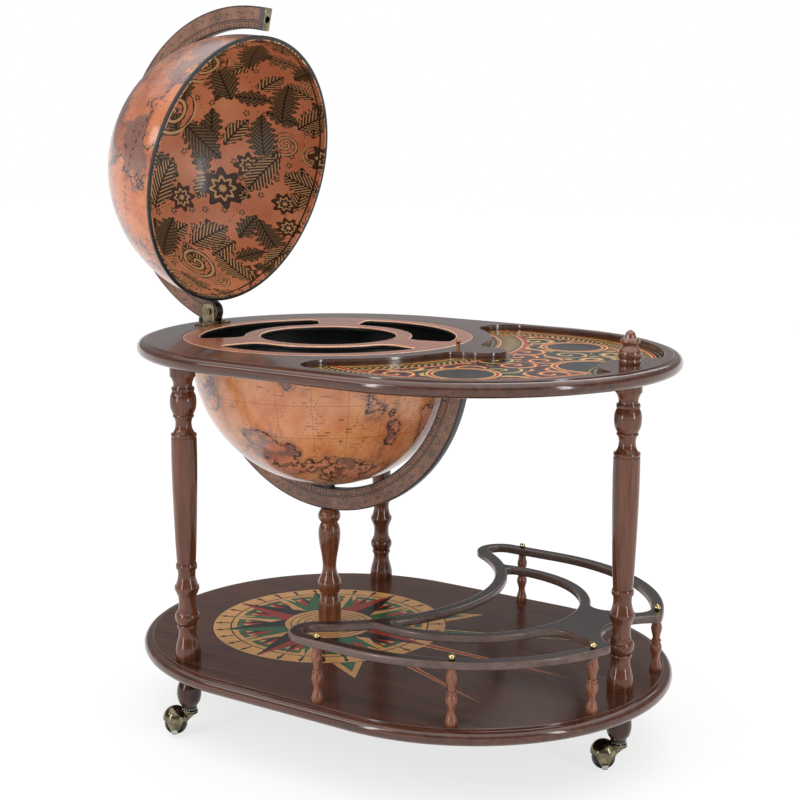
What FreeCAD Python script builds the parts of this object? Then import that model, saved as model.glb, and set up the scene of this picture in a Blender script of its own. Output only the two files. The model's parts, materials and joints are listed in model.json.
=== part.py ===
import FreeCAD, Part
import math
import os
from FreeCAD import Vector

# Floor globe bar: a half globe hangs under a long table, the other half is its hinged lid,
# and a shelf with a bottle gallery joins the three turned legs just above the casters.
# Lengths are millimetres and angles are degrees. While the pieces are made, the globe axis is
# x = y = 0 and the floor is z = 0. The lid stands open, as in the rest pose.

# Clearances and cuts
fit_gap = 0.1
seat_gap = 0.3
running_gap = 0.05
overrun = 5.0

# Table and shelf: two boards with the same long plan
board_margin = 103.0
board_end_spacing = 250.0
board_thickness = 23.0
board_field_rise = 2.0
board_field_inset = 14.0
board_nose_radius = 9.5
globe_axis_offset = 22.0
leg_length = 473.0

# Legs, feet and centre pillar
leg_radius = 20.6
leg_left_setback = 102.0
leg_side_margin = 60.0
leg_end_margin = 54.0
foot_radius = 19.5
foot_height = 56.0
pillar_radius = 19.7
finial_radius = 17.2
finial_height = 50.0
stud_radius = 4.0
stud_leg_depth = 18.0
stud_board_depth = 12.0

# Globe
globe_radius = 225.0
shell_thickness = 4.0
liner_thickness = 2.0
rim_trim_height = 5.0
rim_trim_overhang = 2.5
rim_trim_round = 1.5
rim_rest_gap = 0.5
bottle_floor_depth = 118.0
bottle_floor_thickness = 6.0

# Half rings around the globe
ring_gap = 9.0
ring_width = 37.0
ring_thickness = 16.0
spacer_radius = 10.0
pole_pin_radius = 3.0
pole_knob_radius = 6.5
pole_knob_height = 9.0

# Lid hinge
lid_open_angle = 77.5
pin_height = 22.0
pin_radius = 4.0
pin_head_radius = 6.0
pin_head_height = 3.0
ring_end_radius = 20.0
cheek_width = 26.0
cheek_thickness = 3.0
cheek_rise = 13.0
cheek_corner = 5.0
flange_depth = 24.0
hinge_screw_radius = 2.0
hinge_screw_head_radius = 3.6
hinge_screw_head_height = 2.0
hinge_screw_depth = 12.0
hinge_screw_spacing = 14.0
bumper_radius = 5.0
bumper_setback = 25.0

# Catch at the free end of the lid ring
end_plate_thickness = 2.0
end_plate_hole_radius = 5.5
end_bore_radius = 6.0
end_bore_depth = 22.0
catch_post_radius = 3.0
catch_ball_radius = 4.2
catch_height = 13.0
catch_depth = 12.0

# Bottle insert, flush in the table over the bowl
insert_margin = 13.0
insert_thickness = 8.0
insert_slot_rim = 28.0
insert_slot_width = 72.0
insert_hole_web = 26.0
insert_slot_half_angle = 47.5
insert_slot_inner_fillet = 28.0
insert_slot_outer_fillet = 12.0
insert_slot_count = 3
insert_first_slot_angle = 60.0

# Sunken serving panel
panel_depth = 9.5
panel_thickness = 2.5
panel_margin = 29.0
panel_arc_margin = 30.0
panel_lobe_radius = 50.0
panel_notch_radius = 88.0
panel_notch_depth = 66.0
panel_tip_radius = 8.0
tongue_half_width = 34.0
tongue_root_radius = 24.0
tongue_straight = 14.0

# Gallery rail on the shelf
rail_height = 85.0
rail_thickness = 12.0
rail_margin = 16.0
rail_arc_margin = 48.0
rail_lobe_radius = 43.0
rail_band = 20.5
rail_notch_radius = 95.0
rail_notch_depth = 59.0
rail_tip_radius = 14.0
rail_ring_margin = 114.5
rail_ring_width = 17.0
rail_leaf_end_angle = 16.5
rail_leaf_fillet = 30.0
rail_valley_fillet = 9.0
spindle_radius = 9.2
spindle_tenon_radius = 4.0
spindle_left_setback = 69.0
spindle_angles = (21.0, 62.0)
ball_nut_radius = 5.2
ball_nut_sink = 1.2

# Casters: hooded ball wheels on a trailing swivel
wheel_radius = 18.0
wheel_half_width = 11.0
hub_radius = 6.0
hub_half_length = 17.0
hood_gap = 0.6
hood_thickness = 2.0
hood_rise = 8.0
hood_strap_half_width = 8.0
hood_strap_drop = 6.0
caster_height = 47.0
caster_trail = 22.0
caster_heading = 215.0
axle_tilt = 22.0
axle_radius = 2.5
axle_cap_width = 9.0
axle_cap_height = 2.5
swivel_disc_radius = 13.5
swivel_disc_height = 6.5
swivel_neck_radius = 8.0
swivel_neck_drop = 14.0
socket_radius = 12.0
socket_height = 6.0
stem_radius = 5.0
stem_length = 22.0

# Turned outlines: stretches of (share of the height, share of the radius) from bottom to top
leg_shares = (
    ((0.0, 0.94), (0.012, 0.975), (0.028, 0.985), (0.05, 0.9), (0.075, 0.75), (0.096, 0.69), (0.108, 0.71)),
    ((0.108, 0.78), (0.114, 0.81), (0.12, 0.78)),
    ((0.12, 0.72), (0.13, 0.86), (0.146, 0.95), (0.158, 0.89), (0.164, 0.8)),
    ((0.164, 0.76), (0.172, 0.75)),
    ((0.172, 0.7), (0.19, 0.66), (0.206, 0.66), (0.222, 0.7)),
    ((0.222, 0.75), (0.234, 0.86), (0.247, 0.95), (0.255, 0.92)),
    ((0.255, 0.87), (0.272, 0.75), (0.292, 0.67), (0.313, 0.71)),
    ((0.313, 0.78), (0.322, 0.82), (0.331, 0.78)),
    ((0.331, 0.72), (0.38, 0.79), (0.445, 0.85), (0.577, 0.94), (0.7, 0.98), (0.756, 0.97)),
    ((0.756, 0.9), (0.761, 0.9)),
    ((0.761, 0.94), (0.7665, 0.98), (0.772, 0.94)),
    ((0.772, 0.86), (0.785, 0.69), (0.803, 0.61), (0.818, 0.65), (0.826, 0.72)),
    ((0.826, 0.77), (0.83, 0.8), (0.834, 0.77)),
    ((0.834, 0.74), (0.852, 0.93), (0.878, 1.0), (0.9, 0.93), (0.912, 0.79)),
    ((0.912, 0.84), (0.9185, 0.87), (0.925, 0.84)),
    ((0.925, 0.73), (0.938, 0.72), (0.95, 0.81), (0.961, 0.92)),
    ((0.961, 0.97), (1.0, 0.98)),
)
pillar_shares = (
    ((0.0, 0.97), (0.137, 0.97), (0.208, 0.9), (0.255, 0.74)),
    ((0.255, 0.68), (0.28, 0.72)),
    ((0.28, 0.84), (0.32, 0.98), (0.365, 1.0), (0.44, 0.7), (0.53, 0.6), (0.67, 0.82),
     (0.79, 0.95), (0.85, 0.86), (0.885, 0.69)),
    ((0.885, 0.72), (0.905, 0.88), (0.94, 0.97), (0.975, 0.86), (1.0, 0.68)),
)
foot_shares = (
    ((0.0, 0.62), (0.05, 0.71), (0.12, 0.84), (0.22, 0.94), (0.36, 1.0), (0.5, 0.98), (0.62, 0.9),
     (0.7, 0.78)),
    ((0.7, 0.7), (0.76, 0.68), (0.82, 0.71)),
    ((0.82, 0.86), (0.91, 0.9), (1.0, 0.86)),
)
finial_shares = (
    ((0.0, 0.9), (0.05, 0.95), (0.12, 0.95), (0.17, 0.9)),
    ((0.17, 0.94), (0.25, 0.99), (0.33, 1.0), (0.43, 0.87), (0.52, 0.66), (0.56, 0.6)),
    ((0.56, 0.66), (0.62, 0.8), (0.67, 0.83), (0.72, 0.76), (0.77, 0.58)),
    ((0.77, 0.52), (0.85, 0.45), (0.92, 0.36), (0.97, 0.2), (1.0, 0.06)),
)
spindle_shares = (
    ((0.0, 0.95), (0.07, 1.0), (0.18, 0.72), (0.29, 0.66), (0.42, 0.98), (0.5, 0.84), (0.54, 0.66)),
    ((0.54, 0.76), (0.565, 0.84), (0.59, 0.76)),
    ((0.59, 0.6), (0.68, 0.7), (0.82, 0.94), (0.93, 0.72), (1.0, 0.74)),
)

# Plan sizes that follow from the globe and the board around it
board_end_radius = globe_radius + board_margin
ring_inner_radius = globe_radius + ring_gap
ring_outer_radius = ring_inner_radius + ring_width
insert_radius = globe_radius + insert_margin
insert_slot_outer_radius = insert_radius - insert_slot_rim
insert_slot_inner_radius = insert_slot_outer_radius - insert_slot_width
insert_hole_radius = insert_slot_inner_radius - insert_hole_web
panel_outer_radius = board_end_radius - panel_margin
panel_arc_radius = insert_radius + panel_arc_margin
rail_outer_radius = board_end_radius - rail_margin
rail_arc_radius = board_end_radius - rail_arc_margin
rail_ring_outer_radius = rail_outer_radius - rail_ring_margin
rail_ring_inner_radius = rail_ring_outer_radius - rail_ring_width

# Places that follow from the sizes above
left_x = globe_axis_offset
right_x = left_x + board_end_spacing
shelf_bottom = caster_height + foot_height
shelf_top_height = shelf_bottom + board_thickness
table_bottom = shelf_top_height + leg_length
table_top_height = table_bottom + board_thickness
leg_left_spread = board_end_radius - leg_side_margin
leg_places = {
    "front_left": (left_x - leg_left_setback, -leg_left_spread),
    "back_left": (left_x - leg_left_setback, leg_left_spread),
    "right": (right_x + board_end_radius - leg_end_margin, 0),
}
pillar_height = table_bottom - ring_outer_radius - seat_gap - shelf_top_height
shell_inner_radius = globe_radius - shell_thickness
liner_outer_radius = shell_inner_radius - seat_gap
liner_inner_radius = liner_outer_radius - liner_thickness
rim_height = table_top_height + rim_rest_gap
ring_mid_radius = (ring_inner_radius + ring_outer_radius) / 2
pin_z = table_top_height + pin_height
pin_x = -math.sqrt(ring_mid_radius**2 - (pin_z - rim_height) ** 2)
lid_axis = Vector(0, 1, 0)
up = Vector(0, 0, 1)
half_ring = ring_thickness / 2
rail_bottom = shelf_top_height + rail_height
wheel_offset = Vector(
    caster_trail * math.cos(math.radians(caster_heading)),
    caster_trail * math.sin(math.radians(caster_heading)),
    wheel_radius,
)


def polar(radius, angle, x=0, y=0):
    """Plan point at a radius and an angle around (x, y)."""
    turn = math.radians(angle)
    return Vector(x + radius * math.cos(turn), y + radius * math.sin(turn), 0)


def heading(point, x=0, y=0):
    """Plan angle of a point seen from (x, y)."""
    return math.degrees(math.atan2(point.y - y, point.x - x))


def bend(radius, start, end, x=0, y=0):
    """Plan arc around (x, y) between two angles."""
    angles = (start, (start + end) / 2, end)
    points = [polar(radius, angle, x, y) for angle in angles]
    return Part.Arc(points[0], points[1], points[2]).toShape()


def joined(start, end):
    """Straight edge between two points."""
    return Part.makeLine(start, end)


def face_of(edges):
    """Flat face inside a closed set of edges."""
    return Part.Face(Part.Wire(Part.__sortEdges__(edges)))


def slab(face, low, high):
    """Plan face raised into a solid between two heights."""
    lifted = face.copy()
    lifted.translate(Vector(0, 0, low))
    return lifted.extrude(Vector(0, 0, high - low))


def post(radius, x, y, low, high):
    """Upright round bar between two heights."""
    return Part.makeCylinder(radius, high - low, Vector(x, y, low), up)


def block(x_low, x_high, y_low, y_high, z_low, z_high):
    """Box between two values on each axis."""
    corner = Vector(x_low, y_low, z_low)
    return Part.makeBox(x_high - x_low, y_high - y_low, z_high - z_low, corner)


def cross_bar(radius, x, z, y_low, y_high):
    """Round bar along the hinge direction."""
    return Part.makeCylinder(radius, y_high - y_low, Vector(x, y_low, z), lid_axis)


def ball(radius, centre):
    """Full sphere around a point."""
    return Part.makeSphere(radius, centre)


def turned(shares, height, radius):
    """Solid of revolution about Z through stretches of height and radius shares."""
    edges = []
    last = Vector(0, 0, 0)
    for stretch in shares:
        points = [Vector(wide * radius, 0, tall * height) for tall, wide in stretch]
        edges.append(joined(last, points[0]))
        if len(points) > 2:
            curve = Part.BSplineCurve()
            curve.interpolate(points)
            edges.append(curve.toShape())
        else:
            edges.append(joined(points[0], points[1]))
        last = points[-1]
    top = Vector(0, 0, height)
    edges.append(joined(last, top))
    edges.append(joined(top, Vector(0, 0, 0)))
    return face_of(edges).revolve(Vector(0, 0, 0), up, 360)


def moved(shape, x, y, z):
    """Copy of a shape, moved."""
    copy = shape.copy()
    copy.translate(Vector(x, y, z))
    return copy


def meeting(radius_a, x_b, radius_b):
    """Upper meeting point of a circle about the globe axis and one about (x_b, 0)."""
    x = (radius_a**2 - radius_b**2 + x_b**2) / (2 * x_b)
    return Vector(x, math.sqrt(radius_a**2 - x**2), 0)


def mirrored(edges):
    """The same edges on the other side of the XZ plane."""
    return [edge.mirror(Vector(0, 0, 0), lid_axis) for edge in edges]


def stadium(inset):
    """Long board plan with round ends, inset from the board edge."""
    radius = board_end_radius - inset
    return face_of([
        bend(radius, 90, 270, left_x),
        joined(Vector(left_x, -radius, 0), Vector(right_x, -radius, 0)),
        bend(radius, -90, 90, right_x),
        joined(Vector(right_x, radius, 0), Vector(left_x, radius, 0)),
    ])


def board(bottom):
    """Long board with a rounded nose and a slightly raised field."""
    shoulder = bottom + board_thickness - board_field_rise
    base = slab(stadium(0), bottom, shoulder)
    rims = [edge for edge in base.Edges if abs(edge.BoundBox.ZMax - edge.BoundBox.ZMin) < fit_gap]
    nosed = base.makeFillet(board_nose_radius, rims)
    field = slab(stadium(board_field_inset), shoulder, bottom + board_thickness)
    return nosed.fuse(field).removeSplitter()


def lobe_centre(outer, arc, lobe):
    """Centre of the round lobe that joins the straight side to the arc about the globe."""
    y = outer - lobe
    return Vector(math.sqrt((arc + lobe) ** 2 - y**2), y, 0)


def lobe_edges(outer, arc, lobe):
    """Lobe and straight side of a gallery outline, on the back half."""
    centre = lobe_centre(outer, arc, lobe)
    toward_axis = 180 + heading(centre)
    return [
        bend(lobe, 90, toward_axis, centre.x, centre.y),
        joined(Vector(centre.x, outer, 0), Vector(right_x, outer, 0)),
    ]


def notch_edges(outer, notch, depth, tip):
    """End arc and rounded tip beside the notch for the right leg, on the back half."""
    reach = outer - depth + notch
    near = meeting(outer - tip, reach, notch + tip)
    tip_x = right_x + near.x
    notch_x = right_x + reach
    arc_stop = heading(near)
    notch_stop = heading(near, reach)
    return [
        bend(outer, 90, arc_stop, right_x),
        bend(tip, arc_stop, notch_stop - 180, tip_x, near.y),
        bend(notch, notch_stop, 180, notch_x),
    ]


def gallery_face(outer, arc, lobe, notch_sizes, inner_edges):
    """Outline that hugs the globe on one side and the right leg on the other."""
    half = lobe_edges(outer, arc, lobe) + notch_edges(outer, *notch_sizes) + inner_edges
    return face_of(half + mirrored(half))


def plain_arc_edges(outer, arc, lobe):
    """Back half of the arc about the globe axis."""
    return [bend(arc, heading(lobe_centre(outer, arc, lobe)), 0)]


def tongue_edges(outer, arc, lobe):
    """Back half of the arc about the globe axis with a tongue that reaches away from it."""
    root_y = tongue_half_width + tongue_root_radius
    root = Vector(math.sqrt((arc + tongue_root_radius) ** 2 - root_y**2), root_y, 0)
    nose_x = root.x + tongue_straight
    return [
        bend(arc, heading(lobe_centre(outer, arc, lobe)), heading(root)),
        bend(tongue_root_radius, 180 + heading(root), 270, root.x, root.y),
        joined(Vector(root.x, tongue_half_width, 0), Vector(nose_x, tongue_half_width, 0)),
        bend(tongue_half_width, 90, 0, nose_x),
    ]


def panel_face(clearance):
    """Plan of the sunken serving panel, pulled in by a clearance."""
    outer = panel_outer_radius - clearance
    arc = panel_arc_radius + clearance
    lobe = panel_lobe_radius - clearance
    inner = tongue_edges(outer, arc, lobe)
    notch_sizes = (panel_notch_radius + clearance, panel_notch_depth, panel_tip_radius)
    return gallery_face(outer, arc, lobe, notch_sizes, inner)


def slot_face(mid_angle):
    """Leaf slot of the bottle insert: a ring sector with two sizes of corner."""
    r_in = insert_slot_inner_radius
    r_out = insert_slot_outer_radius
    f_in = insert_slot_inner_fillet
    f_out = insert_slot_outer_fillet
    turn_in = math.degrees(math.asin(f_in / (r_in + f_in)))
    turn_out = math.degrees(math.asin(f_out / (r_out - f_out)))
    edges = []
    for side in (-1, 1):
        end = mid_angle + side * insert_slot_half_angle
        near = polar(r_in + f_in, end - side * turn_in)
        far = polar(r_out - f_out, end - side * turn_out)
        line_in = polar(math.sqrt((r_in + f_in) ** 2 - f_in**2), end)
        line_out = polar(math.sqrt((r_out - f_out) ** 2 - f_out**2), end)
        edges.append(joined(line_in, line_out))
        inward = heading(near) + 180
        outward = heading(far)
        edges.append(bend(f_in, inward, inward - side * (90 - turn_in), near.x, near.y))
        edges.append(bend(f_out, outward, outward + side * (90 + turn_out), far.x, far.y))
    half_in = insert_slot_half_angle - turn_in
    half_out = insert_slot_half_angle - turn_out
    edges.append(bend(r_in, mid_angle - half_in, mid_angle + half_in))
    edges.append(bend(r_out, mid_angle - half_out, mid_angle + half_out))
    return face_of(edges)


def leaf_face():
    """Back leaf opening of the gallery rail."""
    outer = rail_outer_radius - rail_band
    arc = rail_arc_radius + rail_band
    lobe = rail_lobe_radius - rail_band
    inner = rail_ring_outer_radius
    f = rail_leaf_fillet
    end = rail_leaf_end_angle
    turn_out = math.degrees(math.asin(f / (outer - f)))
    turn_in = math.degrees(math.asin(f / (inner + f)))
    far = polar(outer - f, end + turn_out, right_x)
    near = polar(inner + f, end + turn_in, right_x)
    valley = meeting(arc + rail_valley_fillet, right_x, inner + rail_valley_fillet)
    valley_angle = heading(valley, right_x)
    line_out = polar(math.sqrt((outer - f) ** 2 - f**2), end, right_x)
    line_in = polar(math.sqrt((inner + f) ** 2 - f**2), end, right_x)
    return face_of(lobe_edges(outer, arc, lobe) + [
        bend(outer, 90, end + turn_out, right_x),
        bend(f, end + turn_out, end - 90, far.x, far.y),
        joined(line_out, line_in),
        bend(f, end - 90, end + turn_in - 180, near.x, near.y),
        bend(inner, end + turn_in, valley_angle, right_x),
        bend(rail_valley_fillet, valley_angle - 180, heading(valley) - 180, valley.x, valley.y),
        bend(arc, heading(valley), heading(lobe_centre(outer, arc, lobe))),
    ])


def rail_centre_face():
    """Middle opening of the gallery rail: a disc with a bite for the globe arc."""
    arc = rail_arc_radius + rail_band
    f = rail_valley_fillet
    corner = meeting(arc + f, right_x, rail_ring_inner_radius - f)
    corner_angle = heading(corner, right_x)
    half = [
        bend(rail_ring_inner_radius, 0, corner_angle, right_x),
        bend(f, corner_angle, 180 + heading(corner), corner.x, corner.y),
        bend(arc, heading(corner), 0),
    ]
    return face_of(half + mirrored(half))


def stud_bars(gap):
    """Joining studs of legs, feet, finial and pillar, grown by a gap."""
    radius = stud_radius + gap
    bars = []
    for name, (x, y) in leg_places.items():
        above = stud_board_depth
        if name == "right":
            above = board_thickness + stud_board_depth
        low = shelf_bottom - stud_leg_depth
        bars.append(post(radius, x, y, low - gap, shelf_top_height + stud_leg_depth + gap))
        bars.append(post(radius, x, y, table_bottom - stud_leg_depth - gap, table_bottom + above + gap))
    pillar_low = shelf_top_height - stud_board_depth
    bars.append(post(radius, 0, 0, pillar_low - gap, shelf_top_height + stud_leg_depth + gap))
    return bars


def without(shape, tools):
    """Shape with a list of tools cut away."""
    return shape.cut(Part.makeCompound(tools))


def spindle_places():
    """Plan places of the six rail spindles, front first."""
    radius = rail_outer_radius - rail_band / 2
    places = []
    for side in (-1, 1):
        places.append((right_x - spindle_left_setback, side * radius))
        for angle in reversed(spindle_angles):
            point = polar(radius, side * angle, right_x)
            places.append((point.x, point.y))
    return places


def half_ring_band(centre_z, low, high):
    """Flat half ring in the XZ plane between two heights."""
    outer = cross_bar(ring_outer_radius, 0, centre_z, -half_ring, half_ring)
    inner = cross_bar(ring_inner_radius, 0, centre_z, -ring_thickness, ring_thickness)
    reach = 2 * ring_outer_radius
    keep = block(-reach, reach, -ring_thickness, ring_thickness, low, high)
    return outer.cut(inner).common(keep)


def half_shell(outer_radius, inner_radius, centre_z, low, high):
    """Part of a spherical shell between two heights."""
    centre = Vector(0, 0, centre_z)
    keep = post(2 * outer_radius, 0, 0, low, high)
    return ball(outer_radius, centre).cut(ball(inner_radius, centre)).common(keep)


def pole_spacer(centre_z, direction):
    """Round spacer between a half globe and its ring, above or below the centre."""
    ends = sorted((centre_z, centre_z + direction * ring_outer_radius))
    bar = post(spacer_radius, 0, 0, ends[0], ends[1])
    bar = bar.cut(ball(globe_radius + seat_gap, Vector(0, 0, centre_z)))
    return bar.common(cross_bar(ring_inner_radius - seat_gap, 0, centre_z, -ring_thickness, ring_thickness))


def make_boards(studs):
    """Shelf, table top, sunken panel, bottle insert and bottle floor."""
    insert_bottom = table_top_height - insert_thickness
    recess_bottom = table_top_height - panel_depth - panel_thickness
    above = table_top_height + overrun
    catch_low = table_top_height - catch_depth - fit_gap
    shelf = without(board(shelf_bottom), studs)
    cuts = [
        post(insert_radius + seat_gap, 0, 0, insert_bottom, above),
        post(liner_inner_radius, 0, 0, table_bottom - overrun, table_top_height),
        slab(panel_face(0), recess_bottom, above),
        post(catch_post_radius + fit_gap, ring_mid_radius, 0, catch_low, above),
    ]
    table = without(board(table_bottom), cuts + studs + hinge_screws(fit_gap))
    slots = [post(insert_hole_radius, 0, 0, insert_bottom - overrun, above)]
    for index in range(insert_slot_count):
        angle = insert_first_slot_angle + index * 360 / insert_slot_count
        slots.append(slab(slot_face(angle), insert_bottom - overrun, above))
    insert = without(post(insert_radius, 0, 0, insert_bottom, table_top_height), slots)
    floor_top = table_top_height - bottle_floor_depth
    floor = post(globe_radius, 0, 0, floor_top - bottle_floor_thickness, floor_top)
    floor = floor.common(ball(liner_inner_radius - seat_gap, Vector(0, 0, table_bottom)))
    panel = slab(panel_face(seat_gap), recess_bottom, recess_bottom + panel_thickness)
    return {
        "lower_shelf": shelf,
        "table_top": table,
        "serving_panel": panel,
        "bottle_insert": insert,
        "bottle_floor": floor,
    }


def make_supports(studs):
    """Legs, feet, finial, pillar and the studs that join them."""
    nodes = {}
    leg = turned(leg_shares, leg_length, leg_radius)
    foot = turned(foot_shares, foot_height, foot_radius)
    stem_hole = post(stem_radius + seat_gap, 0, 0, -overrun, stem_length)
    for name, (x, y) in leg_places.items():
        nodes["leg_" + name] = without(moved(leg, x, y, shelf_top_height), studs)
        nodes["foot_" + name] = without(moved(foot.cut(stem_hole), x, y, caster_height), studs)
    right_leg_x, right_leg_y = leg_places["right"]
    finial = turned(finial_shares, finial_height, finial_radius)
    finial = moved(finial, right_leg_x, right_leg_y, table_top_height)
    nodes["leg_finial"] = without(finial, studs)
    pillar = turned(pillar_shares, pillar_height + overrun, pillar_radius)
    pillar = moved(pillar, 0, 0, shelf_top_height)
    half_saddle = pillar_radius + overrun
    saddle = cross_bar(ring_outer_radius + seat_gap, 0, table_bottom, -half_saddle, half_saddle)
    nodes["centre_pillar"] = without(pillar, studs + [saddle])
    nodes["joint_studs"] = Part.makeCompound(stud_bars(0))
    return nodes


def make_bowl():
    """Lower half globe, its liner, its ring and the spacer between them."""
    low = table_bottom - globe_radius - overrun
    ring = half_ring_band(table_bottom, table_bottom - 2 * ring_outer_radius, table_bottom)
    return {
        "lower_bowl": half_shell(globe_radius, shell_inner_radius, table_bottom, low, table_bottom),
        "bowl_liner": half_shell(liner_outer_radius, liner_inner_radius, table_bottom, low, table_bottom),
        "lower_meridian": ring,
        "bowl_spacer": pole_spacer(table_bottom, -1),
    }


def hinge_screws(gap):
    """Screws of both hinge flanges, grown by a gap; heads only when the gap is zero."""
    screws = []
    seat = table_top_height + cheek_thickness
    for side in (-1, 1):
        y = side * (half_ring + seat_gap + cheek_thickness + flange_depth / 2)
        for step in (-1, 1):
            x = pin_x + step * hinge_screw_spacing / 2
            low = table_top_height - hinge_screw_depth - gap
            shank = post(hinge_screw_radius + gap, x, y, low, seat + gap)
            if gap == 0:
                rise = hinge_screw_head_height
                bulge = (hinge_screw_head_radius**2 + rise**2) / (2 * rise)
                dome = ball(bulge, Vector(x, y, seat + rise - bulge))
                head = dome.common(post(2 * bulge, x, y, seat, seat + 2 * bulge))
                shank = shank.fuse(head).removeSplitter()
            screws.append(shank)
    return screws


def hinge_bracket(side):
    """Angle bracket with an upright cheek beside the ring and a screwed flange."""
    inner = half_ring + seat_gap
    outer = inner + cheek_thickness
    far = outer + flange_depth
    x_low = pin_x - cheek_width / 2
    x_high = pin_x + cheek_width / 2
    cheek = block(x_low, x_high, inner, outer, table_top_height, pin_z + cheek_rise)
    top_edges = [e for e in cheek.Edges if e.BoundBox.ZMin > pin_z and e.BoundBox.XLength < fit_gap]
    cheek = cheek.makeFillet(cheek_corner, top_edges)
    flange = block(x_low, x_high, inner, far, table_top_height, table_top_height + cheek_thickness)
    corners = [e for e in flange.Edges if e.BoundBox.YMin > outer and e.BoundBox.ZLength > fit_gap]
    flange = flange.makeFillet(cheek_corner, corners)
    bracket = cheek.fuse(flange).removeSplitter()
    if side < 0:
        bracket = bracket.mirror(Vector(0, 0, 0), lid_axis)
    bore = cross_bar(pin_radius + fit_gap, pin_x, pin_z, -far, far)
    return without(bracket, [bore] + hinge_screws(fit_gap))


def make_hinge():
    """Fixed half of the hinge, the lid stop and the catch post."""
    reach = half_ring + seat_gap + cheek_thickness
    pin = cross_bar(pin_radius, pin_x, pin_z, -reach - pin_head_height, reach + pin_head_height)
    for y_low in (-reach - pin_head_height, reach):
        pin = pin.fuse(cross_bar(pin_head_radius, pin_x, pin_z, y_low, y_low + pin_head_height))
    open_centre = Vector(0, 0, rim_height) - Vector(pin_x, 0, pin_z)
    turn = math.radians(lid_open_angle)
    centre_x = pin_x + open_centre.x * math.cos(turn) - open_centre.z * math.sin(turn)
    centre_z = pin_z + open_centre.x * math.sin(turn) + open_centre.z * math.cos(turn)
    bumper_x = pin_x - bumper_setback
    reach_x = bumper_x + bumper_radius - centre_x
    bumper_top = centre_z - math.sqrt(ring_outer_radius**2 - reach_x**2) - seat_gap
    catch_low = table_top_height - catch_depth
    ball_z = table_top_height + catch_height - catch_ball_radius
    catch = post(catch_post_radius, ring_mid_radius, 0, catch_low, ball_z)
    catch = catch.fuse(ball(catch_ball_radius, Vector(ring_mid_radius, 0, ball_z)))
    return {
        "hinge_bracket_front": hinge_bracket(-1),
        "hinge_bracket_back": hinge_bracket(1),
        "hinge_pin": pin.removeSplitter(),
        "hinge_screws": Part.makeCompound(hinge_screws(0)),
        "lid_bumper": post(bumper_radius, bumper_x, 0, table_top_height, bumper_top),
        "catch_post": catch.removeSplitter(),
    }


def lid_ring():
    """Ring of the lid with its rounded hinge end and the bore for the catch post."""
    low = rim_height + end_plate_thickness
    ring = half_ring_band(rim_height, table_top_height, rim_height + 2 * ring_outer_radius)
    below = block(-2 * ring_outer_radius, 0, -ring_thickness, ring_thickness, table_bottom, pin_z)
    hinge_end = cross_bar(ring_end_radius, pin_x, pin_z, -2 * ring_thickness, 2 * ring_thickness)
    below = below.cut(hinge_end)
    free_end = block(0, 2 * ring_outer_radius, -ring_thickness, ring_thickness, table_bottom, low)
    pivot = cross_bar(pin_radius + running_gap, pin_x, pin_z, -ring_thickness, ring_thickness)
    bore = post(end_bore_radius, ring_mid_radius, 0, table_top_height, low + end_bore_depth)
    pole = post(pole_pin_radius + fit_gap, 0, 0, rim_height, rim_height + 2 * ring_outer_radius)
    return without(ring, [below, free_end, pivot, bore, pole])


def make_lid():
    """Upper half globe with its ring, closed over the table."""
    shell_low = rim_height + rim_trim_height
    top = rim_height + globe_radius + overrun
    pole = post(pole_pin_radius + fit_gap, 0, 0, rim_height, rim_height + 2 * ring_outer_radius)
    trim = post(globe_radius + rim_trim_overhang, 0, 0, rim_height, shell_low)
    trim_hole = liner_inner_radius - rim_trim_overhang
    trim = trim.cut(post(trim_hole, 0, 0, rim_height - overrun, shell_low + overrun))
    trim = trim.makeFillet(rim_trim_round, [edge for edge in trim.Edges if len(edge.Vertexes) == 1])
    knob_low = rim_height + ring_outer_radius + seat_gap
    knob = post(pole_knob_radius, 0, 0, knob_low, knob_low + pole_knob_height)
    level_edges = [edge for edge in knob.Edges if edge.BoundBox.ZLength < fit_gap]
    top_edges = [edge for edge in level_edges if edge.BoundBox.ZMin > knob_low + fit_gap]
    knob = knob.makeFillet(pole_knob_radius / 2, top_edges)
    stem = post(pole_pin_radius, 0, 0, rim_height + shell_inner_radius, knob_low + pole_knob_height / 2)
    plate_top = rim_height + end_plate_thickness
    plate = block(ring_inner_radius, ring_outer_radius, -half_ring, half_ring, rim_height, plate_top)
    plate_hole = post(end_plate_hole_radius, ring_mid_radius, 0, table_bottom, rim_height + overrun)
    return {
        "lid_shell": half_shell(globe_radius, shell_inner_radius, rim_height, shell_low, top).cut(pole),
        "lid_liner": half_shell(liner_outer_radius, liner_inner_radius, rim_height, shell_low, top),
        "lid_rim_trim": trim,
        "upper_meridian": lid_ring(),
        "meridian_end_plate": plate.cut(plate_hole),
        "lid_spacer": pole_spacer(rim_height, 1).cut(pole),
        "pole_pin": knob.fuse(stem).removeSplitter(),
    }


def opened(shape):
    """Lid piece turned from the closed to the open pose."""
    copy = shape.copy()
    copy.rotate(Vector(pin_x, 0, pin_z), lid_axis, -lid_open_angle)
    return copy


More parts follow.
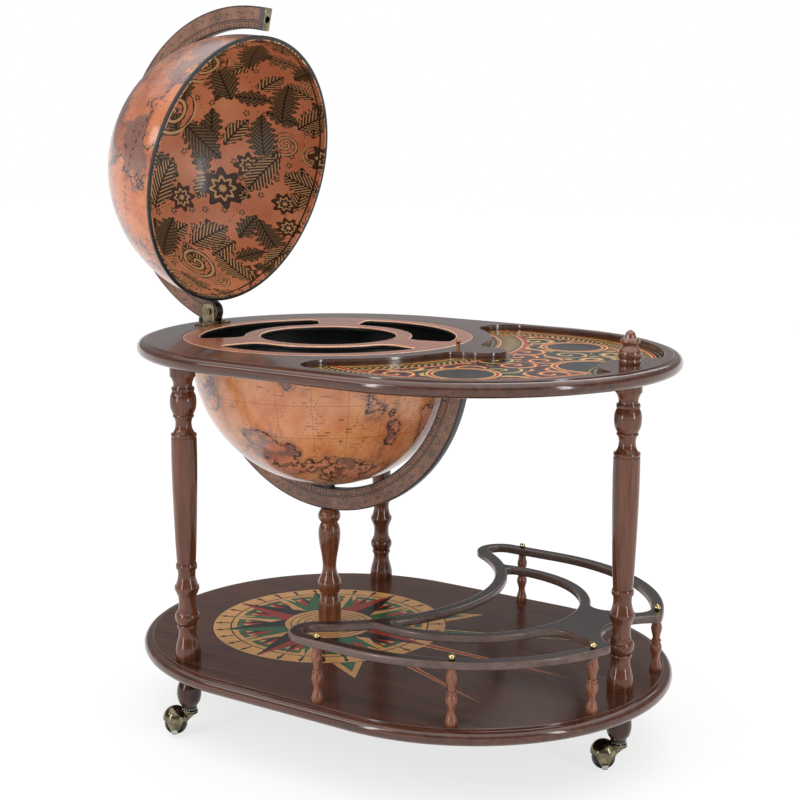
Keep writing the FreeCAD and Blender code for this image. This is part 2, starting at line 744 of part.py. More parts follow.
def make_gallery():
    """Rail plate, its spindles and the ball nuts on top."""
    rail_top = rail_bottom + rail_thickness
    outline = (rail_outer_radius, rail_arc_radius, rail_lobe_radius)
    inner = plain_arc_edges(*outline)
    notch_sizes = (rail_notch_radius, rail_notch_depth, rail_tip_radius)
    face = gallery_face(*outline, notch_sizes, inner)
    leaf = leaf_face()
    openings = [leaf, leaf.mirror(Vector(0, 0, 0), lid_axis), rail_centre_face()]
    cuts = [slab(opening, rail_bottom - overrun, rail_top + overrun) for opening in openings]
    spindle = turned(spindle_shares, rail_height, spindle_radius)
    tenon = post(spindle_tenon_radius, 0, 0, rail_height / 2, rail_height + rail_thickness)
    spindle = spindle.fuse(tenon).removeSplitter()
    nodes = {}
    nuts = []
    for index, (x, y) in enumerate(spindle_places()):
        nodes["spindle_" + str(index + 1)] = moved(spindle, x, y, shelf_top_height)
        cuts.append(post(spindle_tenon_radius + fit_gap, x, y, rail_bottom - overrun, rail_top + overrun))
        nut = ball(ball_nut_radius, Vector(x, y, rail_top + ball_nut_radius - ball_nut_sink))
        nuts.append(nut.common(post(2 * ball_nut_radius, x, y, rail_top, rail_top + 2 * ball_nut_radius)))
    nodes["gallery_rail"] = without(slab(face, rail_bottom, rail_top), cuts)
    nodes["rail_ball_nuts"] = Part.makeCompound(nuts)
    return nodes


def tilted(shape):
    """Piece made along Z, laid along the sloping axle of a caster wheel."""
    copy = shape.copy()
    copy.rotate(Vector(0, 0, 0), lid_axis, 90 + axle_tilt)
    copy.rotate(Vector(0, 0, 0), up, caster_heading + 90)
    copy.translate(wheel_offset)
    return copy


def caster_hood():
    """Hood with its swivel disc and stem, around a wheel that trails behind the stem."""
    cavity_radius = wheel_radius + hood_gap
    hood_radius = cavity_radius + hood_thickness
    crown = wheel_offset + Vector(0, 0, hood_rise)
    outer = ball(hood_radius, wheel_offset).fuse(ball(hood_radius, crown))
    outer = outer.fuse(Part.makeCylinder(hood_radius, hood_rise, wheel_offset, up))
    cavity = ball(cavity_radius, wheel_offset).fuse(ball(cavity_radius, crown))
    cavity = cavity.fuse(Part.makeCylinder(cavity_radius, hood_rise, wheel_offset, up))
    dome = Part.makeCylinder(2 * hood_radius, 2 * hood_radius, crown, up)
    far = 2 * hood_radius
    wide = hood_strap_half_width
    strap = block(-far, hood_strap_drop, -wide, wide, -far, far)
    shell = outer.common(dome.fuse(tilted(strap)))
    disc_top = caster_height - socket_height - seat_gap
    disc_low = disc_top - swivel_disc_height
    hood = shell.fuse(post(swivel_disc_radius, 0, 0, disc_low, disc_top))
    hood = hood.fuse(post(swivel_neck_radius, 0, 0, disc_low - swivel_neck_drop, disc_top))
    hood = hood.cut(post(socket_radius + hood_gap, 0, 0, disc_top, caster_height + 2 * hood_radius))
    hood = hood.fuse(post(stem_radius, 0, 0, disc_low, caster_height + stem_length / 2))
    bore = tilted(post(axle_radius + fit_gap, 0, 0, -2 * hood_radius, 2 * hood_radius))
    return without(hood, [cavity, bore]).removeSplitter()


def caster_axle():
    """Axle of a caster wheel with a square cap at its lower end."""
    reach = wheel_radius + hood_gap + hood_thickness + fit_gap
    half = axle_cap_width / 2
    axle = post(axle_radius, 0, 0, -reach, reach + axle_cap_height)
    cap = block(-half, half, -half, half, reach, reach + axle_cap_height)
    return tilted(axle.fuse(cap).removeSplitter())


def caster_wheel():
    """Ball wheel with flat sides and a hub, bored for its axle."""
    tread = ball(wheel_radius, Vector(0, 0, 0))
    tread = tread.common(post(2 * wheel_radius, 0, 0, -wheel_half_width, wheel_half_width))
    hub = post(hub_radius, 0, 0, -hub_half_length, hub_half_length)
    bore = post(axle_radius + running_gap, 0, 0, -2 * wheel_radius, 2 * wheel_radius)
    return tilted(tread.fuse(hub).cut(bore).removeSplitter())


def make_casters():
    """Three casters under the feet."""
    socket = post(socket_radius, 0, 0, caster_height - socket_height, caster_height)
    socket = socket.cut(post(stem_radius + running_gap, 0, 0, 0, 2 * caster_height))
    pieces = {"socket": socket, "hood": caster_hood(), "axle": caster_axle(), "wheel": caster_wheel()}
    nodes = {}
    for name, (x, y) in leg_places.items():
        for piece, shape in pieces.items():
            nodes["caster_" + piece + "_" + name] = moved(shape, x, y, 0)
    return nodes


def make_all():
    """Every node in the making frame."""
    studs = stud_bars(fit_gap)
    nodes = make_boards(studs)
    nodes.update(make_supports(studs))
    nodes.update(make_bowl())
    nodes.update(make_hinge())
    nodes.update(make_gallery())
    nodes.update(make_casters())
    for name, shape in make_lid().items():
        nodes[name] = opened(shape)
    return nodes


def centre_shift(nodes):
    """Move along X that puts the middle of the open bar over the origin."""
    boxes = [shape.optimalBoundingBox(False) for shape in nodes.values()]
    return -(min(box.XMin for box in boxes) + max(box.XMax for box in boxes)) / 2


def main():
    """Make the nodes, centre them and write one file for each."""
    os.makedirs("parts", exist_ok=True)
    nodes = make_all()
    shift = centre_shift(nodes)
    print("shift along X", round(shift, 3))
    for name, shape in nodes.items():
        moved(shape, shift, 0, 0).exportStep("parts/" + name + ".step")


if __name__ == "__main__":
    main()
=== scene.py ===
import json
import logging
import math
from dataclasses import dataclass, replace
from enum import Enum, IntEnum
from functools import partial, reduce
from typing import Callable, Optional, Sequence, Union

import bmesh
import bpy
import numpy as np
from mathutils import Matrix, Vector
from mathutils.geometry import delaunay_2d_cdt


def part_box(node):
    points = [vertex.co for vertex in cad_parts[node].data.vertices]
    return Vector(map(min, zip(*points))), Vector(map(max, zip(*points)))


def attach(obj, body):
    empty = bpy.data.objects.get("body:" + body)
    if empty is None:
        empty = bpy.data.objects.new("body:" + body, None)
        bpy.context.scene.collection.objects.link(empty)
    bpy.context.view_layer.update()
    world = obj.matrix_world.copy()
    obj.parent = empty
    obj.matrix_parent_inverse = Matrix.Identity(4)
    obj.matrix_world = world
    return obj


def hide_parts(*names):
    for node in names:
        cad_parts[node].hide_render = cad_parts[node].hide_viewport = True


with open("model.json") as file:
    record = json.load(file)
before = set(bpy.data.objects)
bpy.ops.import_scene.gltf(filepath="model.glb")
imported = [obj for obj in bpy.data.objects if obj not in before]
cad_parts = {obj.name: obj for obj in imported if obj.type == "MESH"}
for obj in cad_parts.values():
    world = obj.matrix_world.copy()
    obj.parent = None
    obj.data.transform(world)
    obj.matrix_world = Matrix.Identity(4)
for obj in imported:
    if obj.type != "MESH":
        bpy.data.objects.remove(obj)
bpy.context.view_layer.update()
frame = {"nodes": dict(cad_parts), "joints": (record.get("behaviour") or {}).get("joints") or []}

# Dressed floor globe bar. Shapes are worked out in millimetres with numpy and put into the meshes in metres.

LOG = logging.getLogger("globe_bar")
Array = np.ndarray
Material = bpy.types.Material
Socket = bpy.types.NodeSocket
Pair = tuple[float, float]
Triple = tuple[float, float, float]
Value = Union[Socket, float, tuple, "Ink"]
Layers = list[tuple[Value, Value]]
Adder = Callable[..., Socket]

MM = 0.001
IMAGE_PIXELS = 800
SENSOR_MM = 36.0
WELD_M = 2e-6
SAME_POINT_MM = 1e-4

# Sizes in millimetres that both shapes and prints follow.
GLOBE_RADIUS = 225.0
RING_INNER = 234.0
RING_OUTER = 271.0
PANEL_OUTER = 299.0
PANEL_ARC = 268.0
REST_GAP = 0.5

# Turn of a flat outline into the XZ plane, and a mirror image of plan points.
UPRIGHT = np.array([[1.0, 0.0, 0.0], [0.0, 0.0, -1.0], [0.0, 1.0, 0.0]])
MIRROR_Y = np.array([1.0, -1.0])


class Slot(Enum):
    """Material slots of the record."""

    BOARD = "board_wood"
    RAIL = "rail_wood"
    TURNED = "turned_wood"
    SPINDLE = "spindle_wood"
    GLOBE = "globe_print"
    LID_INSIDE = "lid_print"
    LINER = "black_liner"
    RING = "ring_print"
    TRIM = "dark_trim"
    INSERT = "copper_insert"
    PANEL = "panel_print"
    RUBBER = "wheel_rubber"
    BRASS = "antique_brass"


class Skin(IntEnum):
    """Which of its piece's finishes a sheet of faces wears."""

    MAIN = 0
    SECOND = 1
    THIRD = 2


class Grain(Enum):
    """Axis along which the grain of a wooden piece runs."""

    ALONG_X = 0
    ALONG_Z = 2


# Surfaces


@dataclass
class Surface:
    """Points in millimetres with sheets of faces, each with its skin and a mark for flat caps."""

    points: Array
    sheets: list[Array]
    skins: list[int]
    flats: list[bool]

    def placed(self, turn: Array, shift: Sequence[float]) -> "Surface":
        """Every point turned by a matrix, then shifted."""
        return Surface(self.points @ turn.T + np.asarray(shift, float), self.sheets, self.skins, self.flats)

    def lifted(self, x: float, y: float, z: float) -> "Surface":
        """Every point shifted."""
        return self.placed(np.eye(3), (x, y, z))

    @staticmethod
    def joined(parts: Sequence["Surface"]) -> "Surface":
        """One surface from several.

        Args:
            parts: Surfaces in one frame.

        Returns:
            All their points and sheets.
        """
        starts = np.cumsum([0] + [len(part.points) for part in parts])
        return Surface(
            np.vstack([part.points for part in parts]),
            [sheet + start for part, start in zip(parts, starts) for sheet in part.sheets],
            [skin for part in parts for skin in part.skins],
            [flat for part in parts for flat in part.flats],
        )


def grid_surface(
    points: Array, close_u: bool, close_v: bool, skin: int = Skin.MAIN, flat: bool = False
) -> Surface:
    """Quads between neighbouring points of a grid.

    Args:
        points: Grid of shape (u, v, 3).
        close_u: Join the last row to the first.
        close_v: Join the last column to the first.
        skin: Skin of the faces.
        flat: The sheet is a flat cap.

    Returns:
        The grid as a surface.
    """
    rows, columns = points.shape[:2]
    number = np.arange(rows * columns).reshape(rows, columns)
    if close_u:
        number = np.vstack([number, number[:1]])
    if close_v:
        number = np.hstack([number, number[:, :1]])
    quads = np.stack([number[:-1, :-1], number[1:, :-1], number[1:, 1:], number[:-1, 1:]], axis=-1)
    return Surface(points.reshape(-1, 3), [quads.reshape(-1, 4)], [skin], [flat])


def revolve(profile: Array, sides: int = 72, skin: int = Skin.MAIN, closed: bool = False) -> Surface:
    """Turned surface about Z: the point at (angle, step) is (r cos angle, r sin angle, z) of that step.

    Args:
        profile: Radius and height for each step, shape (n, 2).
        sides: Steps around the axis.
        skin: Skin of the faces.
        closed: The profile is a closed loop that doesn't touch the axis.

    Returns:
        The turned surface.
    """
    angles = np.linspace(0, 2 * np.pi, sides, endpoint=False)[:, None]
    radius = profile[None, :, 0]
    height = np.broadcast_to(profile[None, :, 1], (sides, len(profile)))
    points = np.stack([radius * np.cos(angles), radius * np.sin(angles), height], axis=-1)
    return grid_surface(points, True, closed, skin)


def spline(points: Array, per_span: int = 7) -> Array:
    """Natural cubic curve through points, by the lengths of the straight chords between them.

    Args:
        points: Points to pass through, shape (n, 2).
        per_span: Steps between neighbouring points.

    Returns:
        Points along the curve.
    """
    gaps = np.linalg.norm(np.diff(points, axis=0), axis=1)
    count = len(points)
    inner = np.arange(1, count - 1)
    system = np.eye(count)
    system[inner, inner - 1] = gaps[:-1]
    system[inner, inner] = 2 * (gaps[:-1] + gaps[1:])
    system[inner, inner + 1] = gaps[1:]
    right = np.zeros((count, 2))
    right[1:-1] = 6 * np.diff(np.diff(points, axis=0) / gaps[:, None], axis=0)
    bend = np.linalg.solve(system, right)
    share = np.linspace(0, count - 1, (count - 1) * per_span + 1)
    span = np.minimum(share.astype(int), count - 2)
    width = gaps[span][:, None]
    ahead = (share - span)[:, None] * width
    behind = width - ahead
    low, high = bend[span], bend[span + 1]
    cubic = (low * behind**3 + high * ahead**3) / (6 * width)
    from_low = (points[span] / width - low * width / 6) * behind
    from_high = (points[span + 1] / width - high * width / 6) * ahead
    return cubic + from_low + from_high


def turned(shares: Sequence[Sequence[Pair]], height: float, radius: float, sides: int = 72) -> Surface:
    """Turned piece on Z = 0 whose outline runs from the axis at the bottom to the axis at the top.

    Args:
        shares: Stretches of (share of the height, share of the radius); three or more points get a curve.
        height: Height of the piece.
        radius: Largest radius.
        sides: Steps around the axis.

    Returns:
        The turned surface.
    """
    runs = [np.array([[0.0, 0.0]])]
    for stretch in shares:
        points = np.array(stretch)[:, ::-1] * np.array([radius, height])
        runs.append(spline(points) if len(points) > 2 else points)
    runs.append(np.array([[0.0, height]]))
    return revolve(np.vstack(runs), sides)


def stepped(radius: float, low: float, steps: Sequence[Pair]) -> Array:
    """Turned outline from steps, each an inset from the largest radius and a height over the low face."""
    return np.array([radius, low]) + np.array(steps) * np.array([-1.0, 1.0])


def arc(radius: float, start: float, end: float, x: float = 0.0, y: float = 0.0, steps: int = 24) -> Array:
    """Points of a plan arc around (x, y) between two angles in degrees."""
    angles = np.radians(np.linspace(start, end, steps))
    return np.stack([x + radius * np.cos(angles), y + radius * np.sin(angles)], axis=-1)


def circle(radius: float, steps: int, x: float = 0.0) -> Array:
    """Points of a whole plan circle around (x, 0), counter-clockwise."""
    return arc(radius, 0, 360, x, 0, steps + 1)[:-1]


def heading_of(x: float, y: float) -> float:
    """Angle of a plan point from X in degrees."""
    return math.degrees(math.atan2(y, x))


def lean_of(rise: float, length: float) -> float:
    """Angle in degrees whose sine is a rise over a length."""
    return math.degrees(math.asin(rise / length))


def tidy_loop(*runs: Array) -> Array:
    """Closed loop from runs of points, without doubled points."""
    loop = np.vstack(runs)
    return loop[np.linalg.norm(loop - np.roll(loop, 1, axis=0), axis=1) > SAME_POINT_MM]


def inset(loop: Array, depth: float) -> Array:
    """Loop moved to its left: each point goes along the mitre of its two edges.

    Args:
        loop: Closed plan loop.
        depth: How far its edges move.

    Returns:
        The moved loop.
    """
    sharpest = 0.35
    sides = []
    for edge in (loop - np.roll(loop, 1, axis=0), np.roll(loop, -1, axis=0) - loop):
        sides.append(np.stack([-edge[:, 1], edge[:, 0]], -1) / np.linalg.norm(edge, axis=1)[:, None])
    spread = np.maximum(1 + np.sum(sides[0] * sides[1], axis=1), sharpest)[:, None]
    return loop + depth * (sides[0] + sides[1]) / spread


def carry(loop: Array, section: Array, skin: int = Skin.MAIN, flat: bool = False) -> Surface:
    """Section carried along a closed loop: inset d and height h give the loop's point moved left by d, at h.

    Args:
        loop: Closed plan loop.
        section: Inset and height for each step.
        skin: Skin of the faces.
        flat: The sheet is a flat cap.

    Returns:
        The swept surface.
    """
    columns = [np.column_stack([inset(loop, depth), np.full(len(loop), height)]) for depth, height in section]
    return grid_surface(np.stack(columns, axis=1), True, False, skin, flat)


def flat_cap(loops: Sequence[Array], height: float, skin: int = Skin.MAIN) -> Surface:
    """Flat face at a height inside the first loop and outside the others.

    Args:
        loops: Closed plan loops, the outer one first.
        height: Height of the face.
        skin: Skin of the face.

    Returns:
        The face as triangles, chosen by counting the loop edges that a ray from each middle crosses.
    """
    points = np.vstack(loops)
    starts = np.cumsum([0] + [len(loop) for loop in loops])
    heads = np.concatenate([np.roll(np.arange(a, b), -1) for a, b in zip(starts[:-1], starts[1:])])
    edges = np.column_stack([np.arange(len(points)), heads])
    found = delaunay_2d_cdt([Vector(p) for p in points.tolist()], edges.tolist(), [], 1, 1e-6)
    corners = np.array([tuple(p) for p in found[0]])
    triangles = np.array(found[2])
    middle = corners[triangles].mean(axis=1)
    low, high = points[edges[:, 0]], points[edges[:, 1]]
    crosses = (low[None, :, 1] > middle[:, None, 1]) != (high[None, :, 1] > middle[:, None, 1])
    rise = np.where(high[:, 1] == low[:, 1], 1.0, high[:, 1] - low[:, 1])
    along = low[None, :, 0] + (middle[:, None, 1] - low[None, :, 1]) * ((high - low)[:, 0] / rise)[None, :]
    inside = np.sum(crosses & (along > middle[:, None, 0]), axis=1) % 2 == 1
    flat = np.column_stack([corners, np.full(len(corners), height)])
    return Surface(flat, [triangles[inside]], [skin], [True])


def quarter_round(size: float, top: float, start: float = 0.0, steps: int = 5) -> Array:
    """Rounded upper edge from top to wall: inset size - size sin t, height top - size + size cos t."""
    turn = np.radians(np.linspace(0, 90, steps))
    return np.column_stack([start + size - size * np.sin(turn), top - size + size * np.cos(turn)])


def mirrored(section: Array, low: float, high: float) -> Array:
    """Upper section followed by its mirror image about the middle of two heights."""
    return np.vstack([section, np.column_stack([section[::-1, 0], low + high - section[::-1, 1]])])


def plate(
    outer: Array,
    holes: Sequence[Array],
    low: float,
    high: float,
    size: float,
    edge: int = Skin.MAIN,
    lower: Optional[int] = None,
    base: int = Skin.MAIN,
    bands: Sequence[tuple[float, int]] = (),
) -> Surface:
    """Flat plate with rounded edges: its edge section is carried along every loop and both sides are capped.

    Args:
        outer: Outer loop, counter-clockwise.
        holes: Hole loops, counter-clockwise.
        low: Height of the underside.
        high: Height of the top.
        size: Radius of the rounded edges.
        edge: Skin of the walls.
        lower: Skin of the hole walls under their top round, where it is another one.
        base: Skin of the underside.
        bands: Insets and skins of flat borders on the top.

    Returns:
        A closed plate whose top has the main skin.
    """
    section = mirrored(quarter_round(size, high), low, high)
    split = len(section) // 2
    turned_holes = [hole[::-1] for hole in holes]
    parts = [carry(outer, section, edge)]
    parts += [carry(loop, section[:split], edge) for loop in turned_holes]
    parts += [carry(loop, section[split - 1 :], edge if lower is None else lower) for loop in turned_holes]
    start = size
    for reach, skin in bands:
        parts.append(carry(outer, np.array([[start, high], [reach, high]]), skin, True))
        start = reach
    rims = [inset(loop, size) for loop in turned_holes]
    parts.append(flat_cap([inset(outer, start)] + rims, high))
    parts.append(flat_cap([inset(outer, size)] + rims, low, base))
    return Surface.joined(parts)


def turn_about(axis: str, degrees: float) -> Array:
    """Matrix of a turn about one axis."""
    return np.array(Matrix.Rotation(math.radians(degrees), 3, axis))


# Materials

OBJECT_COORDS = 3
WEAR_RANGE = (0.25, 0.75)
WEAR_SMOOTHER = 0.05
WEAR_ROUGHER = 0.06
BUMP_STRENGTH = 0.6


def linear(code: str) -> tuple[float, ...]:
    """Linear colour of an sRGB hex value."""
    parts = np.array(list(bytes.fromhex(code[1:]))) / 255
    return (*np.where(parts <= 0.04045, parts / 12.92, ((parts + 0.055) / 1.055) ** 2.4).tolist(), 1.0)


class Ink(Enum):
    """Base of the sets of printing inks, each an sRGB hex value."""

    @property
    def shade(self) -> tuple[float, ...]:
        """Linear colour of the ink."""
        return linear(self.value)


def add_node(
    tree: bpy.types.NodeTree, kind: str, *inputs: Optional[Value], out: int = 0, **settings: object
) -> Socket:
    """Add a node with its settings and links.

    Args:
        tree: Node tree.
        kind: Node class without its prefix, with any operation after a dot, or just that of a Math node.
        inputs: Sockets to link or values to set, in the order of the node's inputs.
        out: Number of the output to hand back.
        settings: Attributes of the node.

    Returns:
        The chosen output.
    """
    name, _, operation = ("Math." + kind if kind.isupper() else kind).partition(".")
    made = tree.nodes.new("ShaderNode" + name)
    if operation:
        made.operation = operation
    for key, setting in settings.items():
        setattr(made, key, setting)
    for index, value in enumerate(inputs):
        if isinstance(value, Socket):
            tree.links.new(value, made.inputs[index])
        elif value is not None:
            made.inputs[index].default_value = value.shade if isinstance(value, Ink) else value
    return made.outputs[out]


def within(node: Adder, value: Value, low: float, high: float) -> Socket:
    """One where a value lies between two bounds, zero elsewhere."""
    return node("COMPARE", value, (low + high) / 2, (high - low) / 2)


def both(node: Adder, first: Value, *others: Value) -> Socket:
    """Product of masks and shares."""
    return reduce(partial(node, "MULTIPLY"), others, first)


def printed(node: Adder, colour: Value, layers: Sequence[tuple]) -> Value:
    """Colour with inks laid over it through their masks, the lowest first."""
    return reduce(lambda under, layer: node("MixRGB", layer[0], under, layer[1]), layers, colour)


def off_step(node: Adder, angle: Socket, step: float, start: float = 0.0) -> Socket:
    """Angle from the nearest of evenly stepped angles, after two whole turns that keep it above zero."""
    return node("PINGPONG", node("ADD", angle, 4 * math.pi - start), step / 2)


def background_share(node: Adder, mirrored_share: float) -> Socket:
    """How far a ray shows the plain white background.

    Args:
        node: Adds nodes.
        mirrored_share: Share for rays that a shiny surface mirrors.

    Returns:
        One for rays of the camera or through clear stuff, that share for mirrored ones, zero for others.
    """
    path = node("LightPath").node
    straight = node("MAXIMUM", path.outputs["Is Camera Ray"], path.outputs["Is Transmission Ray"])
    return node("MAXIMUM", straight, node("MULTIPLY", path.outputs["Is Glossy Ray"], mirrored_share))


def polar(node: Adder, spot: Socket, second: int = 1) -> tuple[Socket, Socket]:
    """Radius and angle in the plane of X and a second axis.

    Args:
        node: Adds nodes.
        spot: Coordinates.
        second: Number of the second axis.

    Returns:
        Radius, and angle from X.
    """
    split = node("SeparateXYZ", spot).node
    x, y = split.outputs[0], split.outputs[second]
    return node("VectorMath.LENGTH", node("CombineXYZ", x, y, 0.0), out=1), node("ARCTAN2", y, x)


def star(
    node: Adder, radius: Socket, angle: Socket, points: int, tip: float, valley: float, turn: float
) -> tuple[Socket, Socket]:
    """Star with straight edges.

    The edge runs from tip to valley: radius = tip * valley * sin(a) / (tip * sin(t) + valley * sin(a - t)),
    where a is half the angle of a point and t the angle from its tip.

    Args:
        node: Adds nodes.
        radius: Radius.
        angle: Angle in radians.
        points: Number of points.
        tip: Radius of the tips.
        valley: Radius of the valleys.
        turn: Turn of the star in radians.

    Returns:
        Mask of the star, and one on the left side of each point.
    """
    half = math.pi / points
    from_tip = off_step(node, angle, 2 * half, turn)
    near = node("MULTIPLY", node("SINE", from_tip), tip)
    rest = node("SINE", node("SUBTRACT", half, from_tip))
    edge = node("DIVIDE", tip * valley * math.sin(half), node("MULTIPLY_ADD", rest, valley, near))
    wave = node("SINE", node("MULTIPLY", node("SUBTRACT", angle, turn), float(points)))
    return node("LESS_THAN", radius, edge), node("GREATER_THAN", wave, 0.0)


@dataclass(frozen=True)
class Place:
    """Frame of a pattern: its middle and its units in millimetres, and its turn about Y in degrees."""

    middle: Triple = (0.0, 0.0, 0.0)
    unit: Triple = (1.0, 1.0, 1.0)
    turn_y: float = 0.0

    def spot(self, node: Adder) -> Socket:
        """Object coordinates in this frame.

        Args:
            node: Adds nodes.

        Returns:
            Coordinates scaled from metres to units, turned, and with the middle at zero.
        """
        shift = -(turn_about("Y", self.turn_y) @ (np.array(self.middle) / np.array(self.unit)))
        turn = (0.0, math.radians(self.turn_y), 0.0)
        scale = tuple(1 / (MM * unit) for unit in self.unit)
        return node("Mapping", node("TexCoord", out=OBJECT_COORDS), tuple(shift.tolist()), turn, scale)


@dataclass(frozen=True)
class Finish:
    """Common part of every finish: a name, the fixed values of its shader and the depth of its relief."""

    name: str
    roughness: float = 0.4
    metallic: float = 0.0
    coat: float = 0.0
    coat_roughness: float = 0.1
    specular: float = 0.5
    bump_mm: float = 0.01

    def paint(self, node: Adder) -> tuple[Value, Socket]:
        """Colour, and a value around 0.5 that varies the roughness and the height."""
        raise NotImplementedError(self.name)

    def build(self) -> Material:
        """Material with its fixed values on the shader's own sockets and the rest linked.

        Returns:
            The material.
        """
        material = bpy.data.materials.new(self.name)
        material.use_nodes = True
        tree = material.node_tree
        node = partial(add_node, tree)
        shader = tree.nodes["Principled BSDF"]
        shader.inputs["Metallic"].default_value = self.metallic
        shader.inputs["Coat Weight"].default_value = self.coat
        shader.inputs["Coat Roughness"].default_value = self.coat_roughness
        shader.inputs["Specular IOR Level"].default_value = self.specular
        colour, wear = self.paint(node)
        span = (self.roughness - WEAR_SMOOTHER, self.roughness + WEAR_ROUGHER)
        rough = node("MapRange", wear, *WEAR_RANGE, *span)
        relief = node("Bump", BUMP_STRENGTH, self.bump_mm * MM).node
        tree.links.new(wear, relief.inputs["Height"])
        tree.links.new(colour, shader.inputs["Base Color"])
        tree.links.new(rough, shader.inputs["Roughness"])
        tree.links.new(relief.outputs[0], shader.inputs["Normal"])
        return material


@dataclass(frozen=True)
class StainedWood(Finish):
    """Stained hardwood, sanded and sprayed with satin lacquer.

    Long soft streaks, fine short pores and a thin clear coat are what the eye meets.
    """

    bump_mm: float = 0.02
    dark: str = "#20120e"
    light: str = "#40271f"
    grain: Grain = Grain.ALONG_X
    streak_mm: float = 7.0
    streak_stretch: float = 18.0
    pore_mm: float = 1.3
    pore_length_mm: float = 22.0
    pore_share: float = 0.2

    def paint(self, node: Adder) -> tuple[Value, Socket]:
        """Streaks between two tones of the stain, with darker pores.

        Args:
            node: Adds nodes.

        Returns:
            Colour, and a pore value around 0.5.
        """
        broad, fine = [self.streak_mm] * 3, [self.pore_mm] * 3
        broad[self.grain.value] = self.streak_mm * self.streak_stretch
        fine[self.grain.value] = self.pore_length_mm
        along, across = (Place(unit=tuple(unit)).spot(node) for unit in (broad, fine))
        streaks = node("TexNoise", along, None, 1.0, 5.0, 0.62, 2.0, 0.0, 1.0, 0.7)
        pores = node("TexNoise", across, None, 1.0, 2.0, 0.5)
        share = node("MapRange", streaks, 0.3, 0.72)
        colour = node("MixRGB", share, linear(self.dark), linear(self.light))
        depth = node("MapRange", pores, 0.28, 0.46, self.pore_share, 0.0)
        return node("MixRGB", depth, colour, linear(self.dark)), pores


class RoseInk(Ink):
    """Inks of the compass rose."""

    OCHRE = "#cb9860"
    RED = "#96291f"
    GREEN = "#2c5f3c"
    BLACK = "#15100e"


